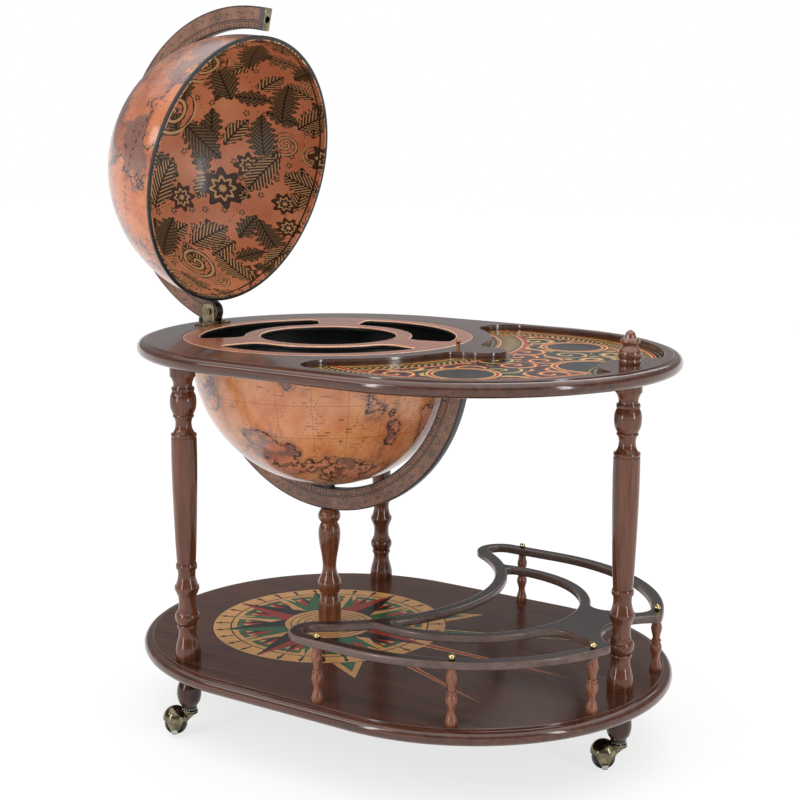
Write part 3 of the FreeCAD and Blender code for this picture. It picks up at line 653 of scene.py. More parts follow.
@dataclass(frozen=True)
class RoseVeneer(StainedWood):
    """Printed veneer of the shelf: stained wood with a traditional compass rose in four inks."""

    middle: Triple = (0.0, 0.0, 0.0)
    disc: float = 197.0
    disc_line: float = 2.0
    points: tuple = (
        (276.0, 100.0, RoseInk.BLACK), (270.0, 97.0, RoseInk.OCHRE), (242.0, 78.0, RoseInk.GREEN),
    )
    drop_radius: float = 186.0
    drop_half: float = 5.0
    drop_slope: float = 0.8
    stalk_half: float = 2.0
    stalk: Pair = (170.0, 194.0)
    hoops: tuple = ((166.0, 168.5), (120.0, 121.5))
    arcs: Pair = (145.0, 157.0)
    arc_gap: float = 0.07
    stars: tuple = (
        (32, 150.0, 112.0, math.pi / 32, RoseInk.GREEN, RoseInk.RED),
        (16, 163.0, 92.0, math.pi / 16, RoseInk.RED, RoseInk.BLACK),
        (8, 166.0, 66.0, math.pi / 8, RoseInk.OCHRE, RoseInk.GREEN),
        (4, 182.0, 60.0, math.pi / 4, RoseInk.GREEN, RoseInk.BLACK),
        (4, 195.0, 56.0, 0.0, RoseInk.RED, RoseInk.BLACK),
    )
    hub: tuple = ((78.0, RoseInk.BLACK), (76.0, RoseInk.OCHRE))
    hub_rings: tuple[float, ...] = (32.0, 43.0, 54.0, 65.0)
    ring_line: float = 1.8
    rays: tuple = ((0.0, 480.0, RoseInk.RED), (0.40, 440.0, RoseInk.GREEN), (-0.40, 440.0, RoseInk.RED))
    ray_half: float = 8.0
    ray_core: float = 0.6
    ray_spread: float = 1.0

    def border(self, node: Adder, radius: Socket, angle: Socket) -> Layers:
        """Four outer points, the disc, and the rows of drops and arcs near its edge.

        Args:
            node: Adds nodes.
            radius: Radius in millimetres.
            angle: Angle in radians.

        Returns:
            Masks with their inks, the lowest first.
        """
        ahead = node("LESS_THAN", node("ABSOLUTE", angle), math.pi / 2)
        layers: Layers = []
        for tip, valley, ink in self.points:
            point = star(node, radius, angle, 4, tip, valley, math.pi / 4)[0]
            layers.append((both(node, point, ahead), ink))
        layers.append((within(node, radius, 0, self.disc + self.disc_line), RoseInk.BLACK))
        layers.append((within(node, radius, 0, self.disc), RoseInk.OCHRE))
        gap = node("MULTIPLY", off_step(node, angle, math.pi / 16), radius)
        away = node("ABSOLUTE", node("SUBTRACT", radius, self.drop_radius))
        head = node("LESS_THAN", gap, node("MULTIPLY_ADD", away, -self.drop_slope, self.drop_half))
        stalk = both(node, node("LESS_THAN", gap, self.stalk_half), within(node, radius, *self.stalk))
        layers.append((node("MAXIMUM", head, stalk), RoseInk.BLACK))
        layers += [(within(node, radius, *hoop), RoseInk.BLACK) for hoop in self.hoops]
        open_arc = node("GREATER_THAN", off_step(node, angle, math.pi / 8), self.arc_gap)
        layers.append((both(node, within(node, radius, *self.arcs), open_arc), RoseInk.GREEN))
        return layers

    def middle_rose(self, node: Adder, radius: Socket, angle: Socket) -> Layers:
        """Stars of two inks each, the ringed hub, and the long rays beyond the disc.

        Args:
            node: Adds nodes.
            radius: Radius in millimetres.
            angle: Angle in radians.

        Returns:
            Masks with their inks, the lowest first.
        """
        layers: Layers = []
        for count, tip, valley, turn, left, right in self.stars:
            mask, side = star(node, radius, angle, count, tip, valley, turn)
            layers.append((mask, node("MixRGB", side, right, left)))
        layers += [(within(node, radius, 0, size), ink) for size, ink in self.hub]
        layers += [(within(node, radius, r, r + self.ring_line), RoseInk.BLACK) for r in self.hub_rings]
        beyond = node("GREATER_THAN", radius, self.disc)
        for heading, length, ink in self.rays:
            apart = node("ABSOLUTE", node("SUBTRACT", angle, heading))
            wide = node("MULTIPLY", node("SINE", apart), radius)
            room = node("MapRange", radius, self.disc, length, self.ray_half, 0.0)
            ahead = node("LESS_THAN", apart, self.ray_spread)
            core = node("LESS_THAN", wide, node("MULTIPLY", room, self.ray_core))
            shown = both(node, node("LESS_THAN", wide, room), beyond, ahead)
            layers.append((shown, node("MixRGB", core, RoseInk.OCHRE, ink)))
        return layers

    def paint(self, node: Adder) -> tuple[Value, Socket]:
        """The rose on the wood, a little browned by age.

        Args:
            node: Adds nodes.

        Returns:
            Colour, and a pore value around 0.5.
        """
        colour, pores = super().paint(node)
        spot = Place(self.middle).spot(node)
        radius, angle = polar(node, spot)
        layers = self.border(node, radius, angle) + self.middle_rose(node, radius, angle)
        age = node("MapRange", node("TexNoise", spot, None, 1 / 20, 4.0, 0.6), 0.3, 0.7, 0.78, 1.0)
        return node("MixRGB", 1.0, printed(node, colour, layers), age, blend_type="MULTIPLY"), pores


@dataclass(frozen=True)
class CastMetal(Finish):
    """Cast and lacquered metal: bright and browned in soft random patches.

    The eye meets a sharp sheen broken by soft darker clouds.
    """

    metallic: float = 1.0
    bump_mm: float = 0.03
    dark: str = "#3a342a"
    light: str = "#85795c"
    patch_mm: float = 9.0

    def paint(self, node: Adder) -> tuple[Value, Socket]:
        """Patches between a dark and a bright tone.

        Args:
            node: Adds nodes.

        Returns:
            Colour, and a patch value around 0.5.
        """
        patches = node("TexNoise", Place(unit=(self.patch_mm,) * 3).spot(node), None, 1.0, 5.0, 0.6)
        share = node("MapRange", patches, 0.32, 0.68)
        return node("MixRGB", share, linear(self.dark), linear(self.light)), patches


@dataclass(frozen=True)
class Moulded(Finish):
    """Moulded rubber or plastic with a fine grit, a little lighter where it is scuffed."""

    bump_mm: float = 0.06
    dark: str = "#0b0b0b"
    light: str = "#1c1b1a"
    grit_mm: float = 1.2
    scuff_mm: float = 40.0

    def paint(self, node: Adder) -> tuple[Value, Socket]:
        """Scuffs between two tones.

        Args:
            node: Adds nodes.

        Returns:
            Colour, and a grit value around 0.5.
        """
        grit = node("TexNoise", Place(unit=(self.grit_mm,) * 3).spot(node), None, 1.0, 3.0, 0.6)
        scuff = node("TexNoise", Place(unit=(self.scuff_mm,) * 3).spot(node), None, 1.0, 4.0, 0.6)
        share = node("MapRange", scuff, 0.35, 0.75)
        return node("MixRGB", share, linear(self.dark), linear(self.light)), grit


class MapInk(Ink):
    """Inks of the globe print over its tinted seas and lands."""

    SHADE = "#4f4a4b"
    SHORE = "#5a4c48"
    STIPPLE = "#4d2a20"
    COAST = "#321a13"
    GRATICULE = "#6e3a22"
    ROUTE = "#5d3420"
    CIRCLE = "#4a2616"


@dataclass(frozen=True)
class MapPaper(Finish):
    """Varnished printed paper of the globe: orange-tan seas, pinkish lands, dark coasts, a thin graticule.

    The lands are those of no real map: a noise field cut at one level. Grey shading lies along the coasts.
    """

    place: Place = Place()
    level: float = 0.525
    sea: tuple[str, str] = ("#b4673c", "#cd8d5e")
    land: tuple[str, str] = ("#a95f4c", "#cb8a68")
    land_mm: float = 118.42
    cloud_mm: float = 45.0
    grey_mm: float = 72.58
    hatch_mm: float = 5.89
    hatch_lean: float = 0.6
    dot_mm: float = 2.647
    dot_share: float = 0.24
    crowd_mm: float = 32.14
    fibre_mm: float = 3.75
    graticule: float = 15.0
    graticule_mm: Pair = (0.36, 0.765)
    route_mm: float = 66.18
    route_half: float = 0.006
    dash_mm: float = 5.437
    circles: tuple = (
        ((0.16, 0.25, 0.955), 1.9125, True),
        ((-0.55, 0.62, 0.56), 0.45, False),
        ((0.7, -0.6, 0.39), 0.45, False),
    )
    circle_fade: float = 0.3375
    circle_beads: float = 108.0

    def lands(self, node: Adder, spot: Socket) -> Value:
        """Seas and lands with hatched shade, shores, stipple and coasts.

        Args:
            node: Adds nodes.
            spot: Coordinates in millimetres about the globe centre.

        Returns:
            The colour.
        """
        height = node("TexNoise", spot, None, 1 / self.land_mm, 8.0, 0.58, 2.1, 0.0, 1.0, 0.4)
        rise = node("SUBTRACT", height, self.level)
        land = node("MapRange", rise, -0.002, 0.002)
        cloud = node("TexNoise", spot, None, 1 / self.cloud_mm, 4.0, 0.6)
        tint = node("MapRange", cloud, 0.32, 0.68)
        sea, ground = (node("MixRGB", tint, linear(a), linear(b)) for a, b in (self.sea, self.land))
        split = node("SeparateXYZ", spot).node
        lean = node("MULTIPLY_ADD", split.outputs[0], self.hatch_lean, split.outputs[2])
        wave = node("SINE", node("MULTIPLY", lean, 2 * math.pi / self.hatch_mm))
        hatch = node("MapRange", wave, -0.4, 0.6, 0.5, 1.0)
        patch = node("TexNoise", spot, None, 1 / self.grey_mm, 6.0, 0.6)
        shaded = node("MapRange", patch, 0.52, 0.56, 0.0, 0.9)
        ground = node("MixRGB", both(node, shaded, hatch), ground, MapInk.SHADE)
        shore = node("MapRange", rise, -0.05, -0.006, 0.0, 0.85)
        beyond = node("LESS_THAN", rise, 0.0)
        dots = node("LESS_THAN", node("TexVoronoi", spot, None, 1 / self.dot_mm), self.dot_share)
        many = node("TexNoise", spot, None, 1 / self.crowd_mm, 2.0, 0.5)
        crowd = node("MapRange", many, 0.46, 0.56, 0.0, 0.8)
        coast = node("MapRange", node("ABSOLUTE", rise), 0.005, 0.011, 0.95, 0.0)
        layers = (
            (land, ground),
            (both(node, shore, beyond, hatch), MapInk.SHORE),
            (both(node, dots, crowd, land), MapInk.STIPPLE),
            (coast, MapInk.COAST),
        )
        return printed(node, sea, layers)

    def paint(self, node: Adder) -> tuple[Value, Socket]:
        """Lands under a graticule, dashed routes and three great circles, the widest one beaded.

        Args:
            node: Adds nodes.

        Returns:
            Colour, and a paper fibre value around 0.5.
        """
        spot = self.place.spot(node)
        across, east = polar(node, spot)
        z = node("SeparateXYZ", spot).node.outputs[2]
        north = node("ARCTAN2", z, across)
        layers: Layers = []
        for angle, stretch in ((east, across), (north, GLOBE_RADIUS)):
            gap = node("MULTIPLY", off_step(node, angle, math.radians(self.graticule)), stretch)
            layers.append((node("MapRange", gap, *self.graticule_mm, 0.5, 0.0), MapInk.GRATICULE))
        drift = node("TexNoise", spot, None, 1 / self.route_mm, 2.0, 0.5)
        off_route = node("ABSOLUTE", node("SUBTRACT", drift, 0.5))
        route = node("LESS_THAN", off_route, self.route_half)
        beat = node("SINE", node("MULTIPLY", z, 2 * math.pi / self.dash_mm))
        dash = node("GREATER_THAN", beat, 0.0)
        layers.append((both(node, route, dash, 0.7), MapInk.ROUTE))
        beads = node("SINE", node("MULTIPLY", east, self.circle_beads))
        for normal, half, beaded in self.circles:
            tilt = node("ABSOLUTE", node("VectorMath.DOT_PRODUCT", spot, normal, out=1))
            line = node("MapRange", tilt, half, half + self.circle_fade, 0.8, 0.0)
            share = node("GREATER_THAN", beads, 0.1) if beaded else 0.6
            layers.append((both(node, line, share), MapInk.CIRCLE))
        fibre = node("TexNoise", spot, None, 1 / self.fibre_mm, 3.0, 0.6)
        return printed(node, self.lands(node, spot), layers), fibre


@dataclass(frozen=True)
class OrnamentPrint(Finish):
    """Common part of the ornament prints: a cell pattern whose centres carry one motif each."""

    place: Place = Place()
    cell_mm: float = 46.0
    scatter: float = 0.5

    def cells(self, node: Adder, spot: Socket, size: float) -> tuple[Socket, Socket, Sequence[Socket]]:
        """Cells of a scattered pattern.

        Args:
            node: Adds nodes.
            spot: Coordinates in millimetres.
            size: Width of a cell in millimetres.

        Returns:
            Radius and angle about the cell's centre, and the cell's three chance values.
        """
        cell = node("TexVoronoi", spot, None, 1 / size, voronoi_dimensions="2D").node
        cell.inputs["Randomness"].default_value = self.scatter
        local = node("VectorMath.SUBTRACT", spot, cell.outputs["Position"])
        return *polar(node, local), node("SeparateXYZ", cell.outputs["Color"]).node.outputs

    def scroll(self, node: Adder, radius: Socket, angle: Socket, chance: Socket, turn_mm: float) -> Socket:
        """Spiral stem around a centre: sin(radius over the turn width, plus or minus the angle by chance).

        Args:
            node: Adds nodes.
            radius: Radius in millimetres.
            angle: Angle in radians.
            chance: Value that chooses the hand of the spiral.
            turn_mm: Width of one turn.

        Returns:
            Wave from -1 to 1.
        """
        hand = node("MapRange", node("GREATER_THAN", chance, 0.5), 0.0, 1.0, -1.0, 1.0)
        phase = node("MULTIPLY_ADD", radius, 2 * math.pi / turn_mm, node("MULTIPLY", angle, hand))
        return node("SINE", phase)


class PanelInk(Ink):
    """Inks of the serving panel."""

    GOLD = "#dcaa60"
    BRONZE = "#b08c50"
    RED = "#a62c22"
    OLIVE = "#45543a"
    BLACK = "#0c0807"


@dataclass(frozen=True)
class PanelPrint(OrnamentPrint):
    """Varnished print of the serving panel: black ground, gold scrolls, leaf rows, ringed medallions."""

    reach: float = 272.0
    turn_share: float = 0.36
    lobes: float = 9.0
    row_half: float = 17.0
    row_insets: Pair = (34.0, 36.0)
    row_frame: tuple = ((9.0, PanelInk.RED), (2.5, PanelInk.GOLD), (0.0, PanelInk.BLACK))
    leaf_mm: float = 11.0
    leaf_slant: float = 0.42
    medallions: tuple = ((215.0, 0.0, 52.0), (95.0, 168.0, 44.0), (95.0, -168.0, 44.0))
    medallion_rings: tuple = (
        (13.0, PanelInk.BLACK), (11.0, PanelInk.GOLD), (7.5, PanelInk.RED), (2.5, PanelInk.GOLD),
        (0.0, PanelInk.BLACK),
    )

    def from_end(self, x: float, y: float) -> Place:
        """Pattern frame at a place about the middle of the right board end."""
        return Place((self.place.middle[0] + self.reach + x, y, 0.0))

    def leaves(self, node: Adder, radius: Socket, angle: Socket, middle: float) -> Socket:
        """Row of leaf strokes slanting from a stem, along a circle.

        Args:
            node: Adds nodes.
            radius: Radius in millimetres.
            angle: Angle in radians.
            middle: Radius of the stem.

        Returns:
            Mask of the strokes.
        """
        away = node("ABSOLUTE", node("SUBTRACT", radius, middle))
        count = round(2 * math.pi * middle / self.leaf_mm)
        phase = node("MULTIPLY_ADD", away, self.leaf_slant, node("MULTIPLY", angle, float(count)))
        thin = node("MapRange", away, 0.0, self.row_half, -0.15, 0.75)
        stroke = node("GREATER_THAN", node("SINE", phase), thin)
        return both(node, stroke, node("LESS_THAN", away, self.row_half))

    def paint(self, node: Adder) -> tuple[Value, Socket]:
        """Scrolls on black, two framed rows of leaves and the medallions.

        Args:
            node: Adds nodes.

        Returns:
            Colour, and a paper fibre value around 0.5.
        """
        spot = self.place.spot(node)
        radius, angle, luck = self.cells(node, spot, self.cell_mm)
        curl = self.scroll(node, radius, angle, luck[0], self.cell_mm * self.turn_share)
        lobes = node("SINE", node("MULTIPLY", angle, self.lobes))
        leaf = node("GREATER_THAN", node("MULTIPLY_ADD", lobes, 0.3, curl), 0.15)
        kinds = (
            (node("GREATER_THAN", luck[1], 0.55), PanelInk.OLIVE),
            (node("GREATER_THAN", luck[2], 0.58), PanelInk.RED),
        )
        layers = [(leaf, printed(node, PanelInk.BRONZE, kinds))]
        layers.append((node("GREATER_THAN", curl, 0.88), PanelInk.GOLD))
        stems = (PANEL_ARC + self.row_insets[0], PANEL_OUTER - self.row_insets[1])
        for place, stem in zip((self.place, self.from_end(0.0, 0.0)), stems):
            distance, turn = polar(node, place.spot(node))
            for extra, ink in self.row_frame:
                half = self.row_half + extra
                layers.append((within(node, distance, stem - half, stem + half), ink))
            layers.append((self.leaves(node, distance, turn, stem), PanelInk.BRONZE))
        for x, y, size in self.medallions:
            away = polar(node, self.from_end(x, y).spot(node))[0]
            for extra, ink in self.medallion_rings:
                layers.append((node("LESS_THAN", away, size + extra), ink))
        fibre = node("TexNoise", spot, None, 1 / 2, 3.0, 0.6)
        return printed(node, PanelInk.BLACK, layers), fibre


class VaultInk(Ink):
    """Inks and grounds of the print inside the lid."""

    BROWN = "#4a2d20"
    OCHRE = "#d3ab78"
    OLIVE = "#786e4d"
    BLACK = "#28180f"
    GROUND = "#c8734c"
    PALE_GROUND = "#e0966e"


@dataclass(frozen=True)
class VaultPrint(OrnamentPrint):
    """Print inside the lid: leaf sprays, scrolls and rosettes in brown and ochre on a clouded ground.

    The pattern lies on the vault by distance from the pole, so motifs keep their size down to the rim.
    """

    radius_mm: float = 219.0
    sprig_mm: float = 34.0
    cloud_mm: float = 95.0
    second_share: float = 0.66
    second_shift: Pair = (0.47, 0.31)
    bead_rows: tuple[float, ...] = (118.0, 214.0, 300.0)
    bead_half: float = 0.9
    beads: float = 90.0
    rim_line: Pair = (331.0, 334.5)
    rosette: tuple = (
        (1.1, VaultInk.BLACK), (1.0, VaultInk.BROWN), (0.68, VaultInk.OCHRE), (0.5, VaultInk.BROWN),
        (0.22, VaultInk.OCHRE),
    )

    def unrolled(self, node: Adder, spot: Socket) -> tuple[Socket, Socket, Socket]:
        """Vault laid flat.

        Args:
            node: Adds nodes.
            spot: Coordinates in millimetres about the globe centre.

        Returns:
            Walk from the pole in millimetres, angle about it, and the flat place.
        """
        across, angle = polar(node, spot)
        height = node("SeparateXYZ", spot).node.outputs[2]
        walk = node("MULTIPLY", node("ARCTAN2", across, height), self.radius_mm)
        x, y = (node("MULTIPLY", walk, node(wave, angle)) for wave in ("COSINE", "SINE"))
        return walk, angle, node("CombineXYZ", x, y, 0.0)

    def sprigs(self, node: Adder, flat: Socket) -> Layers:
        """Small five-petalled flowers between the large motifs.

        Args:
            node: Adds nodes.
            flat: Flat place in millimetres.

        Returns:
            Masks with their inks, the lowest first.
        """
        radius, turn, luck = self.cells(node, flat, self.sprig_mm)
        shown = node("GREATER_THAN", luck[0], 0.35)
        petals = node("ABSOLUTE", node("SINE", node("MULTIPLY", turn, 2.5)))
        edge = node("MULTIPLY_ADD", petals, 4.2, 3.0)
        return [
            (both(node, shown, node("LESS_THAN", radius, edge), 0.8), VaultInk.BROWN),
            (both(node, shown, node("LESS_THAN", radius, 2.0)), VaultInk.OCHRE),
        ]

    def sprays(self, node: Adder, flat: Socket, size: float) -> Layers:
        """One large leaf, scroll or rosette in each cell.

        Args:
            node: Adds nodes.
            flat: Flat place in millimetres.
            size: Width of a cell in millimetres.

        Returns:
            Masks with their inks, the lowest first.
        """
        radius, turn, luck = self.cells(node, flat, size)
        is_leaf = node("LESS_THAN", luck[1], 0.58)
        is_rose = node("GREATER_THAN", luck[1], 0.82)
        is_scroll = node("SUBTRACT", node("SUBTRACT", 1.0, is_leaf), is_rose)
        swing = node("MULTIPLY_ADD", luck[0], 2 * math.pi, turn)
        along = node("MULTIPLY", radius, node("COSINE", swing))
        aside = node("ABSOLUTE", node("MULTIPLY", radius, node("SINE", swing)))
        share = node("MULTIPLY", along, 1 / (0.52 * size))
        bow = node("SUBTRACT", 1.0, node("MULTIPLY", share, share))
        teeth = node("ABSOLUTE", node("SINE", node("MULTIPLY", along, 0.24)))
        edge = both(node, bow, node("MULTIPLY_ADD", teeth, 0.5, 0.5), 0.3 * size)
        leaf = both(node, is_leaf, node("LESS_THAN", aside, edge))
        rim = both(node, is_leaf, node("LESS_THAN", aside, node("ADD", edge, 1.8)))
        veins = node("SINE", node("MULTIPLY", node("MULTIPLY_ADD", aside, 1.1, along), 0.7))
        late = node("GREATER_THAN", luck[2], 0.6)
        tint = node("MixRGB", late, VaultInk.OCHRE, VaultInk.OLIVE)
        body = node("MixRGB", node("GREATER_THAN", veins, 0.45), VaultInk.BROWN, tint)
        curl = self.scroll(node, radius, turn, luck[2], size * 0.22)
        petals = node("SINE", node("MULTIPLY", swing, 8.0))
        reach = both(node, is_scroll, node("LESS_THAN", radius, 0.46 * size))
        stem = node("GREATER_THAN", node("MULTIPLY_ADD", petals, 0.25, curl), -0.05)
        layers = [
            (rim, VaultInk.BLACK),
            (leaf, body),
            (both(node, leaf, node("LESS_THAN", aside, 1.6)), VaultInk.BLACK),
            (both(node, reach, stem), VaultInk.BROWN),
            (both(node, reach, node("GREATER_THAN", curl, 0.7)), VaultInk.OCHRE),
        ]
        rose_edge = node("MULTIPLY_ADD", petals, 0.06 * size, 0.33 * size)
        for scale, ink in self.rosette:
            ring = node("LESS_THAN", radius, node("MULTIPLY", rose_edge, scale))
            layers.append((both(node, is_rose, ring), ink))
        return layers

    def paint(self, node: Adder) -> tuple[Value, Socket]:
        """Clouded ground, two sizes of sprays over the sprigs, beaded rows and a line near the rim.

        Args:
            node: Adds nodes.

        Returns:
            Colour, and a cloud value around 0.5.
        """
        spot = self.place.spot(node)
        cloud = node("TexNoise", spot, None, 1 / self.cloud_mm, 3.0, 0.55)
        tone = node("MapRange", cloud, 0.3, 0.7)
        ground = node("MixRGB", tone, VaultInk.GROUND, VaultInk.PALE_GROUND)
        walk, angle, flat = self.unrolled(node, spot)
        x, y = (self.cell_mm * share for share in self.second_shift)
        moved = node("VectorMath.ADD", flat, (x, y, 0.0))
        layers = self.sprigs(node, flat)
        layers += self.sprays(node, moved, self.cell_mm * self.second_share)
        layers += self.sprays(node, flat, self.cell_mm)
        bead = node("GREATER_THAN", node("SINE", node("MULTIPLY", angle, self.beads)), 0.2)
        for distance in self.bead_rows:
            row = within(node, walk, distance - self.bead_half, distance + self.bead_half)
            layers.append((both(node, row, bead, 0.6), VaultInk.BLACK))
        layers.append((within(node, walk, *self.rim_line), VaultInk.BLACK))
        return printed(node, ground, layers), cloud


class ScaleInk(Ink):
    """Inks and grounds of the scale on the half rings."""

    GROUND = "#4b2f23"
    PALE_GROUND = "#946a54"
    GREEN = "#2e4036"
    BLACK = "#1a120f"
    END = "#4a4347"


@dataclass(frozen=True)
class ScalePrint(Finish):
    """Printed scale on the flat sides of the half rings: mottled brown paper, dark lines, graduated bands."""

    bump_mm: float = 0.02
    place: Place = Place()
    cloud_mm: float = 22.0
    fleck_mm: float = 2.6
    lozenge_step: float = 6.0
    lozenge_middle: float = 0.68
    lozenge_lean: float = 0.55
    lozenge_half: float = 3.4
    lines: tuple = ((0.0, 2.4), (0.3, 0.6), (0.38, 0.9), (1.0, 2.6))
    ticks: tuple = ((1.5, 0.18, 0.8), (7.5, 0.3, 1.0))
    tick_start: float = 0.06
    end_band: float = 0.0

    def paint(self, node: Adder) -> tuple[Value, Socket]:
        """Mottled ground with lozenges, lines, ticks and a plain band at the free end.

        Args:
            node: Adds nodes.

        Returns:
            Colour, and a fleck value around 0.5.
        """
        spot = self.place.spot(node)
        radius, angle = polar(node, spot, 2)
        width = RING_OUTER - RING_INNER
        share = node("MapRange", radius, RING_INNER, RING_OUTER)
        cloud = node("TexNoise", spot, None, 1 / self.cloud_mm, 3.0, 0.6)
        fleck = node("TexNoise", spot, None, 1 / self.fleck_mm, 2.0, 0.5)
        mottle = node("ADD", node("MULTIPLY", cloud, 0.5), fleck)
        tone = node("MapRange", mottle, 0.55, 0.95)
        ground = node("MixRGB", tone, ScaleInk.GROUND, ScaleInk.PALE_GROUND)
        off = node("MULTIPLY", off_step(node, angle, math.radians(self.lozenge_step)), radius)
        rise = node("MULTIPLY", node("SUBTRACT", share, self.lozenge_middle), width)
        spread = node("ADD", node("MULTIPLY", off, self.lozenge_lean), node("ABSOLUTE", rise))
        lozenge = node("LESS_THAN", spread, self.lozenge_half)
        layers = [(both(node, lozenge, 0.55), ScaleInk.GREEN)]
        for place, half in self.lines:
            middle = RING_INNER + place * width
            line = within(node, radius, middle - half, middle + half)
            layers.append((both(node, line, 0.85), ScaleInk.BLACK))
        for degrees, high, thick in self.ticks:
            gap = node("MULTIPLY", off_step(node, angle, math.radians(degrees)), radius)
            tall = within(node, share, self.tick_start, high)
            tick = both(node, node("LESS_THAN", gap, thick), tall, 0.8)
            layers.append((tick, ScaleInk.BLACK))
        end = node("LESS_THAN", node("ABSOLUTE", angle), math.radians(self.end_band))
        layers.append((end, ScaleInk.END))
        return printed(node, ground, layers), fleck


# Pieces


def make_piece(
    name: str,
    surface: Surface,
    body: str,
    node: str,
    finishes: Sequence[Material],
    sharp: float = 38.0,
) -> None:
    """Put a surface into the scene as a piece that rides on a body.

    Args:
        name: Name of the piece.
        surface: Surface in millimetres.
        body: Body it rides on.
        node: Node that it replaces.
        finishes: Materials in the order of the skins.
        sharp: Edges bent by more than this angle in degrees are sharp.
    """
    mesh = bpy.data.meshes.new(name)
    faces = [face for sheet in surface.sheets for face in sheet.tolist()]
    mesh.from_pydata((surface.points * MM).tolist(), [], faces)
    counts = [len(sheet) for sheet in surface.sheets]
    mesh.polygons.foreach_set("material_index", np.repeat(np.array(surface.skins, np.int32), counts))
    flag = mesh.attributes.new("flat_cap", "INT", "FACE")
    flag.data.foreach_set("value", np.repeat(np.array(surface.flats, np.int32), counts))
    work = bmesh.new()
    work.from_mesh(mesh)
    bmesh.ops.remove_doubles(work, verts=work.verts, dist=WELD_M)
    bmesh.ops.recalc_face_normals(work, faces=work.faces)
    work.to_mesh(mesh)
    work.free()
    mesh.shade_smooth()
    mesh.set_sharp_from_angle(angle=math.radians(sharp))
    mark_cap_edges(mesh)
    for material in finishes:
        mesh.materials.append(material)
    piece = bpy.data.objects.new(name, mesh)
    bpy.context.scene.collection.objects.link(piece)
    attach(piece, body)
    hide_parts(node)
    LOG.info("%s: %d faces on %s", name, len(mesh.polygons), body)


def mark_cap_edges(mesh: bpy.types.Mesh) -> None:
    """Sharpen the edges between flat caps and other faces, so that caps stay flat to the light.

    Args:
        mesh: Mesh with the cap mark on its faces.
    """
    flat, sizes = np.zeros((2, len(mesh.polygons)), np.int32)
    mesh.attributes["flat_cap"].data.foreach_get("value", flat)
    mesh.polygons.foreach_get("loop_total", sizes)
    edge_of = np.zeros(len(mesh.loops), np.int32)
    mesh.loops.foreach_get("edge_index", edge_of)
    low = np.ones(len(mesh.edges), np.int32)
    high = np.zeros(len(mesh.edges), np.int32)
    np.minimum.at(low, edge_of, np.repeat(flat, sizes))
    np.maximum.at(high, edge_of, np.repeat(flat, sizes))
    sharp = np.zeros(len(mesh.edges), bool)
    mesh.edges.foreach_get("use_edge_sharp", sharp)
    mesh.edges.foreach_set("use_edge_sharp", sharp | (low != high))
    mesh.attributes.remove(mesh.attributes["flat_cap"])


def dress(node: str, material: Material) -> None:
    """Give a carried-over node a better material.

    Args:
        node: Name of the node.
        material: Its finish.
    """
    materials = frame["nodes"][node].data.materials
    if not materials:
        materials.append(material)
    for index in range(len(materials)):
        materials[index] = material
    LOG.info("%s: node dressed with %s", node, material.name)


def box_of(node: str) -> Array:
    """Lowest and highest corner of a node in millimetres."""
    return np.array([list(corner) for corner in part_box(node)]) / MM


@dataclass(frozen=True)
class Plan:
    """Places of the frame in millimetres."""

    axis_x: float
    left_x: float
    right_x: float
    end_radius: float
    table_low: float
    table_high: float
    shelf_low: float
    shelf_high: float
    pin_x: float
    pin_z: float
    open_angle: float
    legs: dict[str, Pair]

    @classmethod
    def read(cls) -> "Plan":
        """Places read from the boxes and joints of the frame.

        Returns:
            The plan.
        """
        table, shelf = box_of("table_top").tolist(), box_of("lower_shelf").tolist()
        joints = {joint["name"]: joint for joint in frame["joints"]}
        hinge = joints["lid_hinge"]
        legs = {}
        for name, joint in joints.items():
            if name.startswith("swivel_"):
                legs[name.removeprefix("swivel_")] = (joint["pos_m"][0] / MM, joint["pos_m"][1] / MM)
        radius = (table[1][1] - table[0][1]) / 2
        return cls(
            axis_x=float(box_of("bottle_insert")[:, 0].mean()),
            left_x=table[0][0] + radius,
            right_x=table[1][0] - radius,
            end_radius=radius,
            table_low=table[0][2],
            table_high=table[1][2],
            shelf_low=shelf[0][2],
            shelf_high=shelf[1][2],
            pin_x=hinge["pos_m"][0] / MM,
            pin_z=hinge["pos_m"][2] / MM,
            open_angle=hinge["range_deg"][1],
            legs=legs,
        )

    @property
    def reach(self) -> float:
        """Distance along X from the globe axis to the middle of the right board end."""
        return self.right_x - self.axis_x

    @property
    def rim(self) -> float:
        """Height of the closed lid's rim."""
        return self.table_high + REST_GAP

    @property
    def lid_turn(self) -> Array:
        """Turn of the open lid."""
        return turn_about("Y", -self.open_angle)

    @property
    def lid_centre(self) -> Array:
        """Globe centre of the open lid: the closed one turned about the hinge pin."""
        pin = np.array([self.pin_x, 0.0, self.pin_z])
        return self.lid_turn @ (np.array([self.axis_x, 0.0, self.rim]) - pin) + pin

    @property
    def bowl_centre(self) -> Triple:
        """Globe centre of the bowl."""
        return (self.axis_x, 0.0, self.table_low)


